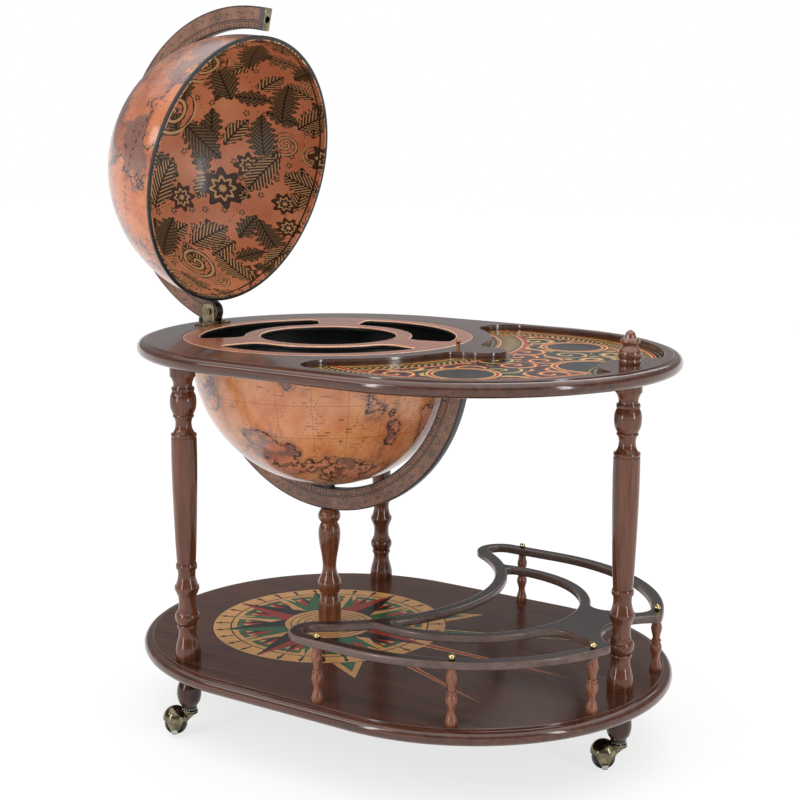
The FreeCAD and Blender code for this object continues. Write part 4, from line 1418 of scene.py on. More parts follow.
class Palette:
    """Every material of the part, built once."""

    def __init__(self, plan: Plan) -> None:
        """Build the materials.

        Args:
            plan: Places that the printed patterns are centred on.
        """
        bowl = Place(plan.bowl_centre)
        lid = Place(tuple(plan.lid_centre.tolist()), turn_y=plan.open_angle)
        turning = partial(
            StainedWood, coat=0.35, coat_roughness=0.05, specular=0.35, grain=Grain.ALONG_Z, bump_mm=0.003
        )
        metal = partial(CastMetal, patch_mm=5.0)
        rail = partial(StainedWood, coat=0.2, streak_mm=16.0, bump_mm=0.002)
        inked = partial(StainedWood, specular=0.2, streak_mm=12.0)
        paper = partial(MapPaper, roughness=0.24, coat=0.5, coat_roughness=0.08)
        scale = partial(ScalePrint, roughness=0.32, coat=0.3, specular=0.35)

        # Walnut under glossy lacquer: a deep brown with long streaks and clear mirrored lights.
        self.walnut = StainedWood(
            "stained_walnut_board", 0.14, coat=0.35, coat_roughness=0.05, specular=0.45, dark="#321a11",
            light="#5b3424", streak_mm=9.0, bump_mm=0.003,
        ).build()
        # Veneer with a print: bright inks that dull a little where the wood shows through.
        self.rose = RoseVeneer(
            "printed_rose_veneer", 0.2, coat=0.1, coat_roughness=0.06, specular=0.25, dark="#2f180f",
            light="#5e3626", streak_mm=12.0, bump_mm=0.003, middle=(plan.axis_x, 0.0, 0.0),
        ).build()
        # Walnut without lacquer: a dry, dull face with open pores.
        self.underside = StainedWood(
            "bare_walnut_underside", 0.62, specular=0.2, dark="#291912", light="#46302a", streak_mm=12.0
        ).build()
        # Walnut stained nearly black: a calm dark face with a soft sheen.
        self.rail = rail("stained_walnut_rail", 0.2, specular=0.3, dark="#1f1411", light="#2d1e18").build()
        # Painted highlight: the same wood coloured lighter on the rail's walls and rounded edges, a lighter
        # line along every edge of the rail.
        self.rail_edge = rail("sanded_rail_edge", 0.28, specular=0.4, dark="#45332c", light="#64504a").build()
        # Beech under red stain: upright streaks and a narrow highlight down each turning.
        self.leg_wood = turning("lacquered_beech_red_stain", 0.13, dark="#402115", light="#6f3f28").build()
        # Beech coloured darker than the legs: brown-black balls with one small highlight.
        self.foot_wood = turning(
            "lacquered_beech_dark_stain", 0.15, coat=0.25, specular=0.3, dark="#2c1712", light="#47291f",
            streak_mm=5.0,
        ).build()
        # Beech under thin stain: the lightest wood, a warm orange-brown.
        self.spindle_wood = turning(
            "lacquered_beech_light_stain", 0.15, coat=0.3, dark="#5e3424", light="#8c563c", streak_mm=4.0
        ).build()
        # Painted light: beech coloured lighter than the legs because the pillar stands in the globe's shade,
        # between the legs and the spindles in tone.
        self.pillar = turning("lacquered_beech_warm_stain", 0.13, dark="#563020", light="#8a5337").build()
        # Polished turning: the sharpest highlights of all the wood.
        self.finial_wood = turning(
            "polished_copper_brown_turning", 0.1, coat=0.6, coat_roughness=0.04, specular=0.5, dark="#522d1e",
            light="#834e37", streak_mm=5.0, bump_mm=0.002,
        ).build()
        # Plate stained like copper: broad reddish clouds under a smooth coat.
        self.insert_face = StainedWood(
            "copper_stained_plate", 0.2, coat=0.3, specular=0.4, dark="#8e4a2e", light="#ad6845",
            streak_mm=30.0, bump_mm=0.01,
        ).build()
        # Painted highlight: the plate's rounded edges coloured a pale copper, a thin bright line round each
        # opening.
        self.insert_edge = StainedWood(
            "bare_copper_edge", 0.3, coat=0.6, dark="#d08f66", light="#f3c29c", streak_mm=6.0
        ).build()
        # Polished copper: pinkish metal with sharp reflections.
        self.copper = metal("polished_copper_post", 0.18, dark="#8a4c30", light="#c98460").build()
        # Cast brass gone grey-brown: soft clouds with a rubbed gleam.
        self.brass = metal("antique_cast_brass", 0.2, dark="#4a4334", light="#948a70", patch_mm=14.0).build()
        # Fresh brass: small yellow sparks.
        self.bright_brass = metal(
            "polished_brass", 0.16, dark="#a88c54", light="#e2cf98", patch_mm=6.0
        ).build()
        # Brass plate rubbed by hands: pale and a little blurred.
        self.old_brass = metal(
            "rubbed_brass_plate", 0.26, dark="#655b48", light="#a2967a", patch_mm=9.0
        ).build()
        # Zinc on steel: cold grey against the brass.
        self.steel = metal("zinc_plated_steel", 0.22, dark="#8a8a88", light="#d6d5d0").build()
        # Rubber: black with a broad dull sheen and a fine grit.
        self.rubber = Moulded("moulded_black_rubber", 0.42).build()
        # Enamel: black with a clear coat that mirrors the lights.
        self.black = Moulded("black_enamelled_collar", 0.3, coat=0.3, dark="#0a0a0a", light="#191817").build()
        # Plastic: a cool black depth behind the openings.
        self.lining = Moulded(
            "black_plastic_lining", 0.36, dark="#0a0c0d", light="#16191b", grit_mm=0.9
        ).build()
        # Trim strip: a dark green-black line round the rim.
        self.trim = Moulded("dark_green_rim_trim", 0.35, dark="#101613", light="#232a24").build()
        # Painted edge: a brown-black outline along each ring.
        self.ring_edge = Moulded("black_ring_edge", 0.35, dark="#0d0b0a", light="#1d1815").build()
        # Varnished paper: a warm print under an even gloss.
        self.bowl_print = paper("varnished_globe_paper_bowl", place=bowl).build()
        # The same paper with more land, coloured a deeper tone than the bowl's as painted shade on the open
        # lid.
        self.lid_print = paper(
            "varnished_globe_paper_lid", place=lid, level=0.5, sea=("#a95a37", "#c2784c"),
            land=("#9a543d", "#ba7856"),
        ).build()
        # Varnished paper inside the lid: a softer gloss, so that the ornament stays readable.
        self.vault = VaultPrint(
            "varnished_vault_paper", 0.34, coat=0.25, coat_roughness=0.15, specular=0.35, place=lid,
            cell_mm=98.0, scatter=0.65,
        ).build()
        # Varnished paper on the rings: brown mottling with fine dark lines.
        self.bowl_scale = scale("varnished_scale_paper_bowl", place=bowl).build()
        # The same paper with a grey end beside the brass plate.
        self.lid_scale = scale("varnished_scale_paper_lid", place=lid, end_band=2.6).build()
        # Varnished panel: gold and red on black, sharp under a thin gloss.
        self.panel_print = PanelPrint(
            "varnished_panel_paper", 0.18, specular=0.2, place=Place((plan.axis_x, 0.0, 0.0)), cell_mm=64.0,
            reach=plan.reach,
        ).build()
        # Gold ink: a dull yellow line that doesn't mirror.
        self.panel_line = inked("gold_printed_line", 0.2, dark="#8a6428", light="#c79a4c").build()
        # Black ink: a quiet border round the printed field.
        self.panel_border = inked("black_printed_border", 0.18, dark="#0d0907", light="#1e1510").build()


@dataclass
class GalleryOutline:
    """Outline that hugs the globe on one side and leaves a notch for the right leg, about the globe axis."""

    reach: float
    outer: float
    arc_radius: float
    lobe: float
    notch: float = 0.0
    depth: float = 0.0
    tip: float = 0.0
    tongue: bool = False
    tongue_half: float = 34.0
    tongue_root: float = 24.0
    tongue_straight: float = 14.0

    def lobe_centre(self) -> Triple:
        """Place of the back lobe.

        Returns:
            Its centre, and the heading of that from the globe axis in degrees.
        """
        y = self.outer - self.lobe
        x = math.sqrt((self.arc_radius + self.lobe) ** 2 - y**2)
        return x, y, heading_of(x, y)

    def lobe_run(self) -> Array:
        """Points round the back lobe, from the straight side to the arc about the globe."""
        x, y, heading = self.lobe_centre()
        return arc(self.lobe, 90, 180 + heading, x, y, 30)

    def globe_side(self) -> Array:
        """Back half of the side along the globe, with the tongue where there is one.

        Returns:
            Points from the lobe to the XZ plane.
        """
        heading = self.lobe_centre()[2]
        if not self.tongue:
            return arc(self.arc_radius, heading, 0, steps=40)
        root_y = self.tongue_half + self.tongue_root
        root_x = math.sqrt((self.arc_radius + self.tongue_root) ** 2 - root_y**2)
        root_heading = heading_of(root_x, root_y)
        return np.vstack([
            arc(self.arc_radius, heading, root_heading, steps=36),
            arc(self.tongue_root, 180 + root_heading, 270, root_x, root_y, 16),
            arc(self.tongue_half, 90, 0, root_x + self.tongue_straight, 0, 24),
        ])

    def loop(self) -> Array:
        """Whole outline: the back half from the notch to the XZ plane beside the globe, and its mirror image.

        Returns:
            Points, counter-clockwise.
        """
        ring, step, far = self.outer - self.tip, self.notch + self.tip, self.outer - self.depth + self.notch
        near_x = (ring**2 - step**2 + far**2) / (2 * far)
        near_y = math.sqrt(ring**2 - near_x**2)
        arc_stop, notch_stop = heading_of(near_x, near_y), heading_of(near_x - far, near_y)
        back = np.vstack([
            arc(self.notch, 180, notch_stop, self.reach + far, 0, 30),
            arc(self.tip, notch_stop - 180, arc_stop, self.reach + near_x, near_y, 14),
            arc(self.outer, arc_stop, 90, self.reach, 0, 60),
            self.lobe_run(),
            self.globe_side(),
        ])
        return tidy_loop(back, back[::-1] * MIRROR_Y)


@dataclass
class Boards:
    """Table top and shelf with moulded edges, the bottle insert and the sunken serving panel."""

    plan: Plan
    palette: Palette
    field_inset: float = 14.0
    field_rise: float = 2.0
    field_round: float = 1.0
    cap_inset: float = 16.5
    nose: float = 9.5
    quirk: float = 1.5
    lip: float = 0.8
    seat_gap: float = 0.3
    bowl_hole: float = 218.7
    insert_radius: float = 238.0
    insert_thickness: float = 8.0
    insert_round: float = 1.8
    hole_radius: float = 112.0
    slot_headings: tuple[float, ...] = (60.0, 180.0, 300.0)
    slot_inner: float = 138.0
    slot_outer: float = 210.0
    slot_half: float = 47.5
    slot_fillet_in: float = 28.0
    slot_fillet_out: float = 12.0
    panel_depth: float = 9.5
    panel_thickness: float = 2.5
    panel_round: float = 0.5
    panel_lobe: float = 50.0
    panel_notch: float = 88.0
    panel_notch_depth: float = 66.0
    panel_tip: float = 8.0
    panel_bands: tuple = ((2.5, Skin.THIRD), (4.2, Skin.SECOND), (10.5, Skin.THIRD), (12.0, Skin.SECOND))

    def build(self) -> None:
        """Shelf, table, insert and panel."""
        for step in (self.build_shelf, self.build_table, self.build_insert, self.build_panel):
            step()

    @property
    def panel_floor(self) -> float:
        """Height of the sunken place that the panel lies in."""
        return self.plan.table_high - self.panel_depth - self.panel_thickness

    def stadium(self) -> Array:
        """Long plan with round ends, counter-clockwise."""
        ends = ((-90, self.plan.right_x), (90, self.plan.left_x))
        return tidy_loop(*[arc(self.plan.end_radius, start, start + 180, x, 0, 97) for start, x in ends])

    def edge(self, low: float, high: float) -> Array:
        """Moulded edge: a field step with a small round, a flat quirk, and a half-round nose above and below.

        Args:
            low: Height of the underside.
            high: Height of the field.

        Returns:
            Inset and height for each step.
        """
        shoulder = high - self.field_rise
        return np.vstack([
            [[self.cap_inset, high]],
            quarter_round(self.field_round, high, self.field_inset),
            [[self.field_inset, shoulder], [self.nose + self.quirk, shoulder]],
            mirrored(quarter_round(self.nose, shoulder, steps=9), low, shoulder),
            [[self.cap_inset, low]],
        ])

    def slot_loop(self, middle: float) -> Array:
        """Leaf slot of the insert: a ring sector with two sizes of corner.

        Args:
            middle: Heading of the slot in degrees.

        Returns:
            Points about the globe axis, counter-clockwise.
        """
        r_in, r_out, f_in, f_out = self.slot_inner, self.slot_outer, self.slot_fillet_in, self.slot_fillet_out
        turn_in, turn_out = lean_of(f_in, r_in + f_in), lean_of(f_out, r_out - f_out)
        ends = {}
        for side in (1, -1):
            end = middle + side * self.slot_half
            far, near = end - side * turn_out, end - side * turn_in
            far_x, far_y = arc(r_out - f_out, far, far, steps=1)[0]
            near_x, near_y = arc(r_in + f_in, near, near, steps=1)[0]
            ends[side] = np.vstack([
                arc(f_out, far, far + side * (90 + turn_out), far_x, far_y, 14),
                arc(f_in, near + 180 - side * (90 - turn_in), near + 180, near_x, near_y, 18),
            ])
        return tidy_loop(
            arc(r_out, middle - self.slot_half + turn_out, middle + self.slot_half - turn_out, steps=60),
            ends[1],
            arc(r_in, middle + self.slot_half - turn_in, middle - self.slot_half + turn_in, steps=40),
            ends[-1][::-1],
        )

    def shifted(self, loop: Array) -> Array:
        """Loop about the globe axis, moved to its place."""
        return loop + np.array([self.plan.axis_x, 0.0])

    def panel_loop(self, gap: float) -> Array:
        """Outline of the panel, pulled in by a gap, counter-clockwise."""
        outline = GalleryOutline(
            self.plan.reach, PANEL_OUTER - gap, PANEL_ARC + gap, self.panel_lobe - gap,
            self.panel_notch + gap, self.panel_notch_depth, self.panel_tip, tongue=True,
        )
        return self.shifted(outline.loop())

    def build_shelf(self) -> None:
        """Shelf board with the compass rose on its field."""
        low, high = self.plan.shelf_low, self.plan.shelf_high
        loop = self.stadium()
        cap = inset(loop, self.cap_inset)
        surface = Surface.joined([
            carry(loop, self.edge(low, high)),
            flat_cap([cap], high, Skin.SECOND),
            flat_cap([cap], low, Skin.THIRD),
        ])
        finishes = [self.palette.walnut, self.palette.rose, self.palette.underside]
        make_piece("shelf_board", surface, "stand", "lower_shelf", finishes)

    def build_table(self) -> None:
        """Table board with its rebate for the insert, its opening over the bowl and the panel's recess."""
        low, high = self.plan.table_low, self.plan.table_high
        loop = self.stadium()
        cap = inset(loop, self.cap_inset)
        rebate = self.shifted(circle(self.insert_radius + self.seat_gap, 144))[::-1]
        recess = self.panel_loop(0.0)[::-1]
        ledge, floor = high - self.insert_thickness, self.panel_floor
        inward = self.bowl_hole - self.insert_radius - self.seat_gap
        lip = quarter_round(self.lip, high, steps=4)
        steps = np.vstack([lip, [[0.0, ledge], [inward, ledge], [inward, low]]])
        surface = Surface.joined([
            carry(loop, self.edge(low, high)),
            flat_cap([cap, inset(rebate, self.lip), inset(recess, self.lip)], high),
            carry(rebate, steps, Skin.SECOND),
            carry(recess, np.vstack([lip, [[0.0, floor]]])),
            flat_cap([recess], floor),
            flat_cap([cap, inset(rebate, inward)], low, Skin.THIRD),
        ])
        finishes = [self.palette.walnut, self.palette.lining, self.palette.underside]
        make_piece("table_board", surface, "stand", "table_top", finishes)

    def build_insert(self) -> None:
        """Bottle insert with its round hole and three leaf slots; their rounded upper edges carry a painted
        highlight.
        """
        high = self.plan.table_high
        outer = self.shifted(circle(self.insert_radius, 144))
        loops = [circle(self.hole_radius, 120)] + [self.slot_loop(middle) for middle in self.slot_headings]
        holes = [self.shifted(loop) for loop in loops]
        low = high - self.insert_thickness
        surface = plate(outer, holes, low, high, self.insert_round, Skin.SECOND, Skin.THIRD)
        # The edge finish is a painted highlight; the lower hole walls wear the black lining.
        finishes = [self.palette.insert_face, self.palette.insert_edge, self.palette.lining]
        make_piece("insert_plate", surface, "stand", "bottle_insert", finishes)

    def build_panel(self) -> None:
        """Serving panel: a printed field inside two lines and a plain border."""
        low = self.panel_floor
        loop, high = self.panel_loop(self.seat_gap), low + self.panel_thickness
        surface = plate(loop, [], low, high, self.panel_round, Skin.THIRD, bands=self.panel_bands)
        finishes = [self.palette.panel_print, self.palette.panel_line, self.palette.panel_border]
        make_piece("serving_print", surface, "stand", "serving_panel", finishes)


@dataclass
class Turnings:
    """Turned legs, feet, pillar and finial."""

    plan: Plan
    palette: Palette
    leg_radius: float = 20.6
    foot_radius: float = 19.5
    pillar_radius: float = 19.7
    finial_radius: float = 17.2
    finial_height: float = 50.0
    leg_shares: tuple = (
        ((0.0, 0.94), (0.012, 0.975), (0.028, 0.985), (0.05, 0.9), (0.075, 0.75), (0.096, 0.69),
         (0.108, 0.71)),
        ((0.108, 0.78), (0.114, 0.81), (0.12, 0.78)),
        ((0.12, 0.72), (0.13, 0.86), (0.146, 0.95), (0.158, 0.89), (0.164, 0.8)),
        ((0.164, 0.76), (0.172, 0.75)),
        ((0.172, 0.7), (0.19, 0.66), (0.206, 0.66), (0.222, 0.7)),
        ((0.222, 0.75), (0.234, 0.86), (0.247, 0.95), (0.255, 0.92)),
        ((0.255, 0.87), (0.272, 0.75), (0.292, 0.67), (0.313, 0.71)),
        ((0.313, 0.78), (0.322, 0.82), (0.331, 0.78)),
        ((0.331, 0.72), (0.38, 0.79), (0.445, 0.85), (0.577, 0.94), (0.7, 0.98), (0.756, 0.97)),
        ((0.756, 0.9), (0.761, 0.9)),
        ((0.761, 0.94), (0.7665, 0.98), (0.772, 0.94)),
        ((0.772, 0.86), (0.785, 0.69), (0.803, 0.61), (0.818, 0.65), (0.826, 0.72)),
        ((0.826, 0.77), (0.83, 0.8), (0.834, 0.77)),
        ((0.834, 0.74), (0.852, 0.93), (0.878, 1.0), (0.9, 0.93), (0.912, 0.79)),
        ((0.912, 0.84), (0.9185, 0.87), (0.925, 0.84)),
        ((0.925, 0.73), (0.938, 0.72), (0.95, 0.81), (0.961, 0.92)),
        ((0.961, 0.97), (1.0, 0.98)),
    )
    pillar_shares: tuple = (
        ((0.0, 0.97), (0.137, 0.97), (0.208, 0.9), (0.255, 0.74)),
        ((0.255, 0.68), (0.28, 0.72)),
        ((0.28, 0.84), (0.32, 0.98), (0.365, 1.0), (0.44, 0.7), (0.53, 0.6), (0.67, 0.82), (0.79, 0.95),
         (0.85, 0.86), (0.885, 0.69)),
        ((0.885, 0.72), (0.905, 0.88), (0.94, 0.97), (0.975, 0.86), (1.0, 0.68)),
    )
    foot_shares: tuple = (
        ((0.0, 0.62), (0.05, 0.71), (0.12, 0.84), (0.22, 0.94), (0.36, 1.0), (0.5, 0.98), (0.62, 0.9),
         (0.7, 0.78)),
        ((0.7, 0.7), (0.76, 0.68), (0.82, 0.71)),
        ((0.82, 0.86), (0.91, 0.9), (1.0, 0.86)),
    )
    finial_shares: tuple = (
        ((0.0, 0.9), (0.05, 0.95), (0.12, 0.95), (0.17, 0.9)),
        ((0.17, 0.94), (0.25, 0.99), (0.33, 1.0), (0.43, 0.87), (0.52, 0.66), (0.56, 0.6)),
        ((0.56, 0.66), (0.62, 0.8), (0.67, 0.83), (0.72, 0.76), (0.77, 0.58)),
        ((0.77, 0.52), (0.85, 0.45), (0.92, 0.36), (0.97, 0.2), (1.0, 0.06)),
    )

    def build(self) -> None:
        """Every turned support on its foot point."""
        plan, palette, shelf = self.plan, self.palette, self.plan.shelf_high
        leg = turned(self.leg_shares, plan.table_low - shelf, self.leg_radius)
        for name, (x, y) in plan.legs.items():
            low = float(box_of("foot_" + name)[0, 2])
            foot = turned(self.foot_shares, plan.shelf_low - low, self.foot_radius).lifted(x, y, low)
            self.add("turned_leg_" + name, leg.lifted(x, y, shelf), "leg_" + name, palette.leg_wood)
            self.add("turned_foot_" + name, foot, "foot_" + name, palette.foot_wood)
        finial = turned(self.finial_shares, self.finial_height, self.finial_radius)
        finial = finial.lifted(*plan.legs["right"], plan.table_high)
        self.add("turned_finial", finial, "leg_finial", palette.finial_wood)
        pillar = turned(self.pillar_shares, float(box_of("centre_pillar")[1, 2]) - shelf, self.pillar_radius)
        # The pillar's lighter beech is painted light against the globe's shade.
        self.add("turned_pillar", pillar.lifted(plan.axis_x, 0, shelf), "centre_pillar", palette.pillar)

    def add(self, name: str, surface: Surface, node: str, finish: Material) -> None:
        """Put one turned piece on the stand."""
        make_piece(name, surface, "stand", node, [finish])


@dataclass
class Gallery:
    """Scroll-shaped rail on six turned spindles."""

    plan: Plan
    palette: Palette
    outer: float = 312.0
    arc_radius: float = 280.0
    lobe: float = 43.0
    notch: float = 95.0
    depth: float = 59.0
    tip: float = 14.0
    strip: float = 20.5
    edge_round: float = 3.0
    ring_outer: float = 197.5
    ring_inner: float = 180.5
    leaf_end: float = 16.5
    leaf_fillet: float = 30.0
    valley_fillet: float = 9.0
    spindles: int = 6
    spindle_radius: float = 9.2
    spindle_sides: int = 48
    shares: tuple = (
        ((0.0, 0.95), (0.07, 1.0), (0.18, 0.72), (0.29, 0.66), (0.42, 0.98), (0.5, 0.84), (0.54, 0.66)),
        ((0.54, 0.76), (0.565, 0.84), (0.59, 0.76)),
        ((0.59, 0.6), (0.68, 0.7), (0.82, 0.94), (0.93, 0.72), (1.0, 0.74)),
    )

    def meeting(self, radius: float, other: float) -> tuple[float, float, float, float]:
        """Upper meeting point of a circle about the globe axis and one about the right board end.

        Args:
            radius: Radius of the circle about the globe axis.
            other: Radius of the other circle.

        Returns:
            The point, and its headings in degrees from the globe axis and from the board end.
        """
        reach = self.plan.reach
        x = (radius**2 - other**2 + reach**2) / (2 * reach)
        y = math.sqrt(radius**2 - x**2)
        return x, y, heading_of(x, y), heading_of(x - reach, y)

    def leaf_loop(self) -> Array:
        """Back leaf opening.

        Returns:
            Points about the globe axis, counter-clockwise.
        """
        reach, fillet, inner = self.plan.reach, self.leaf_fillet, self.ring_outer
        bite = self.arc_radius + self.strip
        rim = GalleryOutline(reach, self.outer - self.strip, bite, self.lobe - self.strip)
        stop_out = self.leaf_end + lean_of(fillet, rim.outer - fillet)
        stop_in = self.leaf_end + lean_of(fillet, inner + fillet)
        far_x, far_y = arc(rim.outer - fillet, stop_out, stop_out, reach, 0, 1)[0]
        near_x, near_y = arc(inner + fillet, stop_in, stop_in, reach, 0, 1)[0]
        x, y, from_axis, from_end = self.meeting(bite + self.valley_fillet, inner + self.valley_fillet)
        return tidy_loop(
            rim.lobe_run(),
            arc(bite, rim.lobe_centre()[2], from_axis, steps=24),
            arc(self.valley_fillet, from_axis + 180, from_end + 180, x, y, 12),
            arc(inner, from_end, stop_in, reach, 0, 48),
            arc(fillet, stop_in - 180, self.leaf_end - 90, near_x, near_y, 20),
            arc(fillet, self.leaf_end - 90, stop_out, far_x, far_y, 20),
            arc(rim.outer, stop_out, 90, reach, 0, 48),
        )

    def centre_loop(self) -> Array:
        """Middle opening: a disc with a bite along the arc about the globe.

        Returns:
            Points about the globe axis, counter-clockwise.
        """
        bite, fillet = self.arc_radius + self.strip, self.valley_fillet
        x, y, from_axis, from_end = self.meeting(bite + fillet, self.ring_inner - fillet)
        back = np.vstack([
            arc(self.ring_inner, 0, from_end, self.plan.reach, 0, 60),
            arc(fillet, from_end, from_axis + 180, x, y, 12),
            arc(bite, from_axis, 0, steps=30),
        ])
        return tidy_loop(back, back[::-1] * MIRROR_Y)

    def build(self) -> None:
        """Rail and spindles."""
        plan, palette = self.plan, self.palette
        shift = np.array([plan.axis_x, 0.0])
        outline = GalleryOutline(
            plan.reach, self.outer, self.arc_radius, self.lobe, self.notch, self.depth, self.tip
        )
        leaf = self.leaf_loop() + shift
        holes = [leaf, leaf[::-1] * MIRROR_Y, self.centre_loop() + shift]
        low, high = box_of("gallery_rail")[:, 2].tolist()
        rail = plate(
            outline.loop() + shift, holes, low, high, self.edge_round, Skin.SECOND, base=Skin.THIRD
        )
        # The rail's walls and rounded edges wear the lighter wood as a painted highlight.
        finishes = [palette.rail, palette.rail_edge, palette.underside]
        make_piece("scroll_rail", rail, "stand", "gallery_rail", finishes)
        spindle = turned(self.shares, low - plan.shelf_high, self.spindle_radius, self.spindle_sides)
        for number in range(1, self.spindles + 1):
            node = "spindle_" + str(number)
            x, y, _ = box_of(node).mean(axis=0)
            placed = spindle.lifted(x, y, plan.shelf_high)
            make_piece("turned_" + node, placed, "stand", node, [palette.spindle_wood])


@dataclass
class Globe:
    """Lower bowl, hinged lid, their liners, the half rings and the rim trim."""

    plan: Plan
    palette: Palette
    sides: int = 144
    shell: float = 4.0
    liner_outer: float = 220.7
    liner_inner: float = 218.7
    trim_height: float = 5.0
    trim_overhang: float = 1.4
    trim_gap: float = 0.2
    trim_flatness: Pair = (0.4, 0.5)
    trim_sharp: float = 60.0
    half_thickness: float = 8.0
    ring_round: float = 1.2
    plate_thickness: float = 2.0
    plate_hole: float = 5.5
    plate_corner: float = 1.5
    plate_round: float = 0.4
    bore_radius: float = 6.0
    bore_depth: float = 22.0
    bore_sides: int = 40

    @property
    def ring_middle(self) -> float:
        """Radius of the middle of the rings."""
        return (RING_INNER + RING_OUTER) / 2

    def dome(self, outer: float, inner: float, low: float) -> Surface:
        """Half shell above its centre: radius cos(latitude), height sin(latitude), inside and back outside.

        Args:
            outer: Outer radius.
            inner: Inner radius.
            low: Height of the rim.

        Returns:
            The shell.
        """
        runs = []
        for size, direction in ((inner, -1), (outer, 1)):
            latitude = np.linspace(math.asin(low / size), math.pi / 2, 60)[::direction]
            runs.append(np.column_stack([size * np.cos(latitude), size * np.sin(latitude)]))
        profile = np.vstack(runs)
        profile[[0, -1], 0] = 0.0
        return revolve(profile, self.sides)

    def lid_ring_loop(self) -> Array:
        """Upper half ring with a round end at the hinge pin.

        Returns:
            Points about the closed globe centre, counter-clockwise.
        """
        pin_x, pin_z = self.plan.pin_x - self.plan.axis_x, self.plan.pin_z - self.plan.rim
        sizes = (RING_OUTER, RING_INNER)
        ends = [lean_of(self.plate_thickness, size) for size in sizes]
        tops = [180 - lean_of(pin_z, size) for size in sizes]
        return tidy_loop(
            arc(RING_OUTER, ends[0], tops[0], steps=121),
            arc((RING_OUTER - RING_INNER) / 2, 180, 360, pin_x, pin_z, 40),
            arc(RING_INNER, tops[1], ends[1], steps=121),
        )

    def upright_plate(self, loop: Array) -> Surface:
        """Plate in the XZ plane about Y = 0 with another skin on its edges."""
        flat = plate(loop, [], -self.half_thickness, self.half_thickness, self.ring_round, Skin.SECOND)
        return flat.placed(UPRIGHT, (0.0, 0.0, 0.0))

    def bored(self, ring: Surface) -> Surface:
        """Lid ring whose free end is opened by the bore for the catch post.

        The flat end face is drawn again around a circle, and a cylinder with a flat bottom goes up from it.

        Args:
            ring: Ring about the closed globe centre.

        Returns:
            The ring with its bore.
        """
        low = self.plate_thickness
        at_end = [np.all(np.abs(ring.points[sheet][..., 2] - low) < 1e-6, axis=1) for sheet in ring.sheets]
        faces = [ring.points[sheet[mark]].reshape(-1, 3) for sheet, mark in zip(ring.sheets, at_end)]
        face = np.vstack(faces)
        (x0, y0), (x1, y1) = face[:, :2].min(axis=0), face[:, :2].max(axis=0)
        border = np.array([[x0, y0], [x1, y0], [x1, y1], [x0, y1]])
        hole = circle(self.bore_radius, self.bore_sides, self.ring_middle)
        wall = revolve(np.array([[1.0, 0.0], [1.0, 1.0], [0.0, 1.0]]), self.bore_sides, Skin.SECOND)
        stretch = np.diag([self.bore_radius, self.bore_radius, self.bore_depth])
        kept = [sheet[~mark] for sheet, mark in zip(ring.sheets, at_end)]
        return Surface.joined([
            replace(ring, sheets=kept),
            flat_cap([border, hole[::-1]], low, Skin.SECOND),
            wall.placed(stretch, (self.ring_middle, 0.0, low)),
        ])

    def trim(self) -> Surface:
        """Rim trim: a closed section whose cosine and sine are flattened by powers, turned about Z.

        Returns:
            The trim about the closed globe centre.
        """
        outer, inner = GLOBE_RADIUS + self.trim_overhang, self.liner_outer + self.trim_gap
        turn = np.linspace(0, 2 * np.pi, 24, endpoint=False)
        across, up = (np.sign(wave) * np.abs(wave) ** power
                      for wave, power in zip((np.cos(turn), np.sin(turn)), self.trim_flatness))
        width = (outer - inner) / 2
        section = np.column_stack([inner + width + width * across, self.trim_height / 2 * (1 + up)])
        return revolve(section, self.sides, closed=True)

    def end_plate(self) -> Surface:
        """Brass plate on the free end of the lid ring, with rounded corners and a hole.

        Returns:
            The plate about the closed globe centre.
        """
        corner, far = self.plate_corner, RING_OUTER - self.plate_corner
        near, half = RING_INNER + corner, self.half_thickness - corner
        corners = ((far, half, 0), (near, half, 90), (near, -half, 180), (far, -half, 270))
        loop = tidy_loop(*[arc(corner, start, start + 90, x, y, 6) for x, y, start in corners])
        hole = circle(self.plate_hole, self.bore_sides, self.ring_middle)
        return plate(loop, [hole], 0.0, self.plate_thickness, self.plate_round)

    def build_bowl(self) -> None:
        """Lower half of the globe with its lining and ring."""
        palette, flip, centre = self.palette, np.diag([1.0, 1.0, -1.0]), self.plan.bowl_centre
        bowl = self.dome(GLOBE_RADIUS, GLOBE_RADIUS - self.shell, 0.0).placed(flip, centre)
        make_piece("bowl_globe", bowl, "stand", "lower_bowl", [palette.bowl_print])
        inside = self.dome(self.liner_outer, self.liner_inner, 0.0).placed(flip, centre)
        make_piece("bowl_lining", inside, "stand", "bowl_liner", [palette.lining])
        loop = tidy_loop(arc(RING_OUTER, 180, 360, steps=121), arc(RING_INNER, 360, 180, steps=121))
        ring, finishes = self.upright_plate(loop).lifted(*centre), [palette.bowl_scale, palette.ring_edge]
        make_piece("bowl_ring", ring, "stand", "lower_meridian", finishes)

    def build_lid(self) -> None:
        """Upper half of the globe with its ring, standing open."""
        plan, palette = self.plan, self.palette
        shell = self.dome(GLOBE_RADIUS, GLOBE_RADIUS - self.shell, self.trim_height)
        inside = self.dome(self.liner_outer, self.liner_inner, REST_GAP)
        ring = self.bored(self.upright_plate(self.lid_ring_loop()))
        shown = partial(Surface.placed, turn=plan.lid_turn, shift=plan.lid_centre)
        # The lid's paper is coloured deeper than the bowl's as painted shade.
        make_piece("lid_globe", shown(shell), "lid", "lid_shell", [palette.lid_print])
        make_piece("lid_vault", shown(inside), "lid", "lid_liner", [palette.vault])
        trim = shown(self.trim())
        make_piece("lid_trim", trim, "lid", "lid_rim_trim", [palette.trim], self.trim_sharp)
        finishes = [palette.lid_scale, palette.ring_edge]
        make_piece("lid_ring", shown(ring), "lid", "upper_meridian", finishes)
        end = shown(self.end_plate())
        make_piece("ring_end_plate", end, "lid", "meridian_end_plate", [palette.old_brass])

    def build(self) -> None:
        """Bowl and lid."""
        self.build_bowl()
        self.build_lid()


